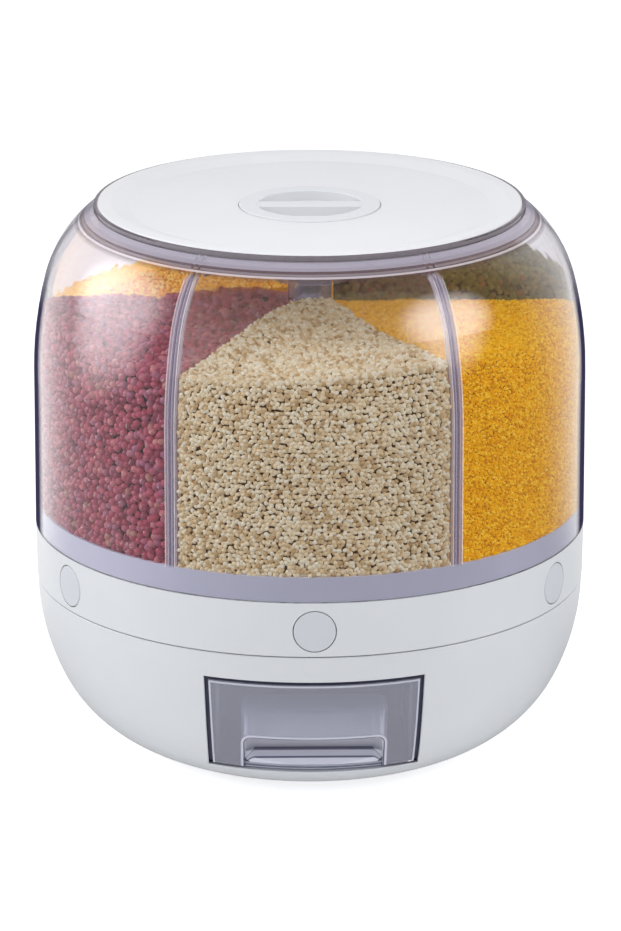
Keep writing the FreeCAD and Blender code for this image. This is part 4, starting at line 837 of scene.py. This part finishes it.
def fill_hopper():
    # Each bay's colour after its tones is the painted shade of its core, and lift is a painted glow.
    white = Heap([(13, 273), (50, 275), (102, 268), (155, 262)],
                 [(13, 275), (30, 276.5), (84, 269.5), (157, 270)])
    fill_bay("pearl_rice", 1, white, (1.58 * MM, 1.22 * MM, 1.14 * MM), 2.82 * MM, 1,
             [(0.0, linear(204, 172, 124)), (0.3, linear(244, 224, 186)), (0.8, linear(255, 248, 226)),
              (0.97, linear(240, 214, 168)), (1.0, linear(184, 146, 96))], linear(88, 62, 36),
             mottle=0.2, lift=0.16)
    millet = Heap([(13, 272), (157, 268)], [(13, 270), (157, 268.5)])
    fill_bay("millet", 2, millet, (0.87 * MM, 0.82 * MM, 0.8 * MM), 1.6 * MM, 0,
             [(0.0, linear(214, 148, 4)), (0.3, linear(236, 178, 10)), (0.75, linear(246, 196, 22)),
              (1.0, linear(252, 218, 74))], linear(168, 104, 4), shine=0.08, lift=0.31)
    mung = Heap([(13, 286), (157, 281)], [(13, 288), (157, 282)])
    fill_bay("mung_beans", 3, mung, (2.1 * MM, 1.8 * MM, 1.75 * MM), 3.6 * MM, 1,
             [(0.0, linear(92, 88, 36)), (0.4, linear(118, 112, 48)), (0.8, linear(140, 132, 66)),
              (1.0, linear(138, 92, 50))], linear(60, 54, 24), shine=0.15, lift=0.2)
    dark = Heap([(13, 276), (157, 270)], [(13, 276), (157, 270)])
    fill_bay("black_rice", 4, dark, (1.9 * MM, 1.0 * MM, 0.95 * MM), 2.5 * MM, 0,
             [(0.0, linear(40, 30, 36)), (0.6, linear(62, 44, 50)), (1.0, linear(92, 66, 66))],
             linear(26, 20, 24))
    yellow = Heap([(13, 296), (60, 296), (100, 284), (155, 261)],
                  [(13, 298), (60, 298), (100, 286), (155, 262)])
    fill_bay("corn_grits", 5, yellow, (1.2 * MM, 1.0 * MM, 0.9 * MM), 2.0 * MM, 0,
             [(0.0, linear(244, 178, 52)), (0.5, linear(253, 206, 92)), (1.0, linear(255, 228, 138))],
             linear(196, 136, 30), shine=0.08, lift=0.42)
    adzuki = Heap([(13, 276), (30, 278), (65, 277), (89, 273), (150, 273)], [(13, 270), (150, 262)])
    scar = moulded_plastic("bean_scar", linear(236, 222, 214), 0.5)
    fill_bay("adzuki_beans", 6, adzuki, (2.45 * MM, 2.05 * MM, 2.0 * MM), 4.5 * MM, 2,
             [(0.0, linear(130, 56, 76)), (0.3, linear(166, 68, 88)), (0.6, linear(182, 90, 108)),
              (0.8, linear(160, 98, 122)), (0.95, linear(198, 118, 124)), (1.0, linear(170, 122, 112))],
             linear(48, 16, 26), roughness=0.34, mottle=0.06, shine=0.5, lift=0.18, scar=scar)


# Springs behind the buttons

def coil(bay):
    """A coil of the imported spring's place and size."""
    low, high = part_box("gate_spring_1")
    outer, inner = -low[1], -high[1]
    wire = 0.45 * MM
    centre_z = (low[2] + high[2]) / 2
    ring = (high[2] - low[2]) / 2 - wire
    turns, steps, sides = 6, 26, 8
    way = np.linspace(0, 2 * math.pi * turns, turns * steps + 1)
    along = np.linspace(inner + wire, outer - wire, len(way))
    rise = (along[-1] - along[0]) / way[-1]
    middle = np.stack([along, ring * np.cos(way), centre_z + ring * np.sin(way)], axis=1)
    outward = np.stack([0 * way, np.cos(way), np.sin(way)], axis=1)
    tangent = np.stack([0 * way + rise, -ring * np.sin(way), ring * np.cos(way)], axis=1)
    tangent /= np.linalg.norm(tangent, axis=1)[:, None]
    other = np.cross(tangent, outward)
    loops = []
    for k in range(sides):
        lean = 2 * math.pi * k / sides
        loops.append(middle + wire * (math.cos(lean) * outward + math.sin(lean) * other))
    points = np.stack(loops, axis=1).reshape(-1, 3)
    faces = tube_faces(len(way), sides)
    angle = BAY_ANGLES[bay - 1]
    cos, sin = math.cos(angle), math.sin(angle)
    turned_points = np.stack([points[:, 0] * cos - points[:, 1] * sin,
                              points[:, 0] * sin + points[:, 1] * cos, points[:, 2]], axis=1)
    piece = new_mesh(f"button_{bay}_coil", turned_points, faces, MATERIALS["spring_steel"])
    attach(piece, "hopper")
    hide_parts(f"gate_spring_{bay}")
    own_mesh(piece)


# Room: floor, light and camera

def glow(s, direction, azimuth, height, reach, strength):
    """A soft bright patch in the room. Angles are in degrees, azimuth to the right of the camera."""
    turn, lift = math.radians(azimuth), math.radians(height)
    way = (math.sin(turn) * math.cos(lift), -math.cos(turn) * math.cos(lift), math.sin(lift))
    rim = math.cos(math.radians(reach))
    return s.span(s.dot(direction, way), 0, strength, rim, 1, "SMOOTHSTEP")


def room_shine(s, direction):
    """What shiny things see of the room in a direction: a dim front, a white back and soft windows."""
    shine = s.span(s.dot(direction, (0, 1, 0)), FRONT_DIM, 1, BACK_FROM, BACK_FULL, "SMOOTHSTEP")
    for patch in GLOWS:
        shine = s.math("ADD", shine, glow(s, direction, *patch))
    return shine


def make_floor():
    """A pale floor that glows a little, and in which shiny things see the room."""
    s = Shader("studio_floor")
    base = s.ramp(s.noise(3, 2), [(0.3, (0.88, 0.88, 0.89)), (0.7, (0.90, 0.90, 0.91))])
    diffuse = s.principled(Base_Color=base, Roughness=0.9)
    bright = s.add("ShaderNodeAddShader")
    s.link(diffuse, bright.inputs[0])
    s.link(s.emission(FLOOR_GLOW), bright.inputs[1])
    away = s.vector("SUBTRACT", s.add("ShaderNodeNewGeometry").outputs["Position"], ROOM_CENTRE)
    mirrored = s.emission(room_shine(s, s.vector("NORMALIZE", away)))
    is_glossy = s.add("ShaderNodeLightPath").outputs["Is Glossy Ray"]
    shader = s.choose(is_glossy, bright.outputs["Shader"], mirrored)
    corners = [(-FLOOR_HALF, -FLOOR_HALF, 0), (FLOOR_HALF, -FLOOR_HALF, 0),
               (FLOOR_HALF, FLOOR_HALF, 0), (-FLOOR_HALF, FLOOR_HALF, 0)]
    floor = new_mesh("floor", corners, [(0, 1, 2, 3)], s.finish(shader), smooth=False)


def make_world():
    """White to the camera and through clear things, soft to rough things."""
    s = Shader("studio", bpy.data.worlds, "ShaderNodeOutputWorld")
    path = s.add("ShaderNodeLightPath")
    direction = s.add("ShaderNodeTexCoord").outputs["Generated"]
    mirrored = s.background((0.98, 0.97, 1.0), room_shine(s, direction))
    soft = s.background((0.94, 0.96, 1.0), ROOM_LIGHT)
    white = s.background((1, 1, 1), 1.0)
    light = s.choose(s.math("LESS_THAN", path.outputs["Glossy Depth"], 0.5), mirrored, white)
    light = s.choose(s.math("LESS_THAN", path.outputs["Diffuse Depth"], 0.5), soft, light)
    light = s.choose(path.outputs["Is Camera Ray"], light, white)
    bpy.context.scene.world = s.finish(light)


def make_lamp(name, place, target, size, power):
    """A soft lamp that lights things and isn't seen itself."""
    light = bpy.data.lights.new(name, "AREA")
    light.shape = "RECTANGLE"
    light.size, light.size_y = size
    light.energy = power
    lamp = bpy.data.objects.new(name, light)
    lamp.location = place
    lamp.rotation_euler = (Vector(target) - Vector(place)).to_track_quat("-Z", "Y").to_euler()
    bpy.context.scene.collection.objects.link(lamp)
    lamp.visible_camera = False
    lamp.visible_glossy = False
    lamp.visible_transmission = False


def make_lights():
    middle = (0, 0, 0.18)
    make_lamp("left_softbox", (-1.7, -0.5, 0.9), middle, (1.2, 1.5), 19)
    make_lamp("right_softbox", (1.7, -0.5, 0.9), middle, (1.2, 1.5), 14.5)
    make_lamp("front_softbox", (0, -0.45, 0.85), (0, -0.1, 0.3), (0.9, 0.5), 2.8)


def make_camera():
    camera = bpy.data.cameras.new("camera")
    camera.lens = FOCAL_PIXELS * SENSOR / IMAGE_HEIGHT
    camera.sensor_width = SENSOR
    camera.clip_end = 60
    eye = bpy.data.objects.new("camera", camera)
    eye.location = (CAMERA_BACK * math.sin(CAMERA_AZIMUTH), -CAMERA_BACK * math.cos(CAMERA_AZIMUTH),
                    CAMERA_HEIGHT)
    eye.rotation_euler = (math.pi / 2 - CAMERA_PITCH, 0, CAMERA_AZIMUTH + CAMERA_TURN)
    bpy.context.scene.collection.objects.link(eye)
    bpy.context.scene.camera = eye


make_camera()
make_world()
make_lights()
make_floor()
dress_nodes()
fill_hopper()
for number in range(1, 7):
    coil(number)
bpy.context.scene.view_settings.view_transform = "Standard"
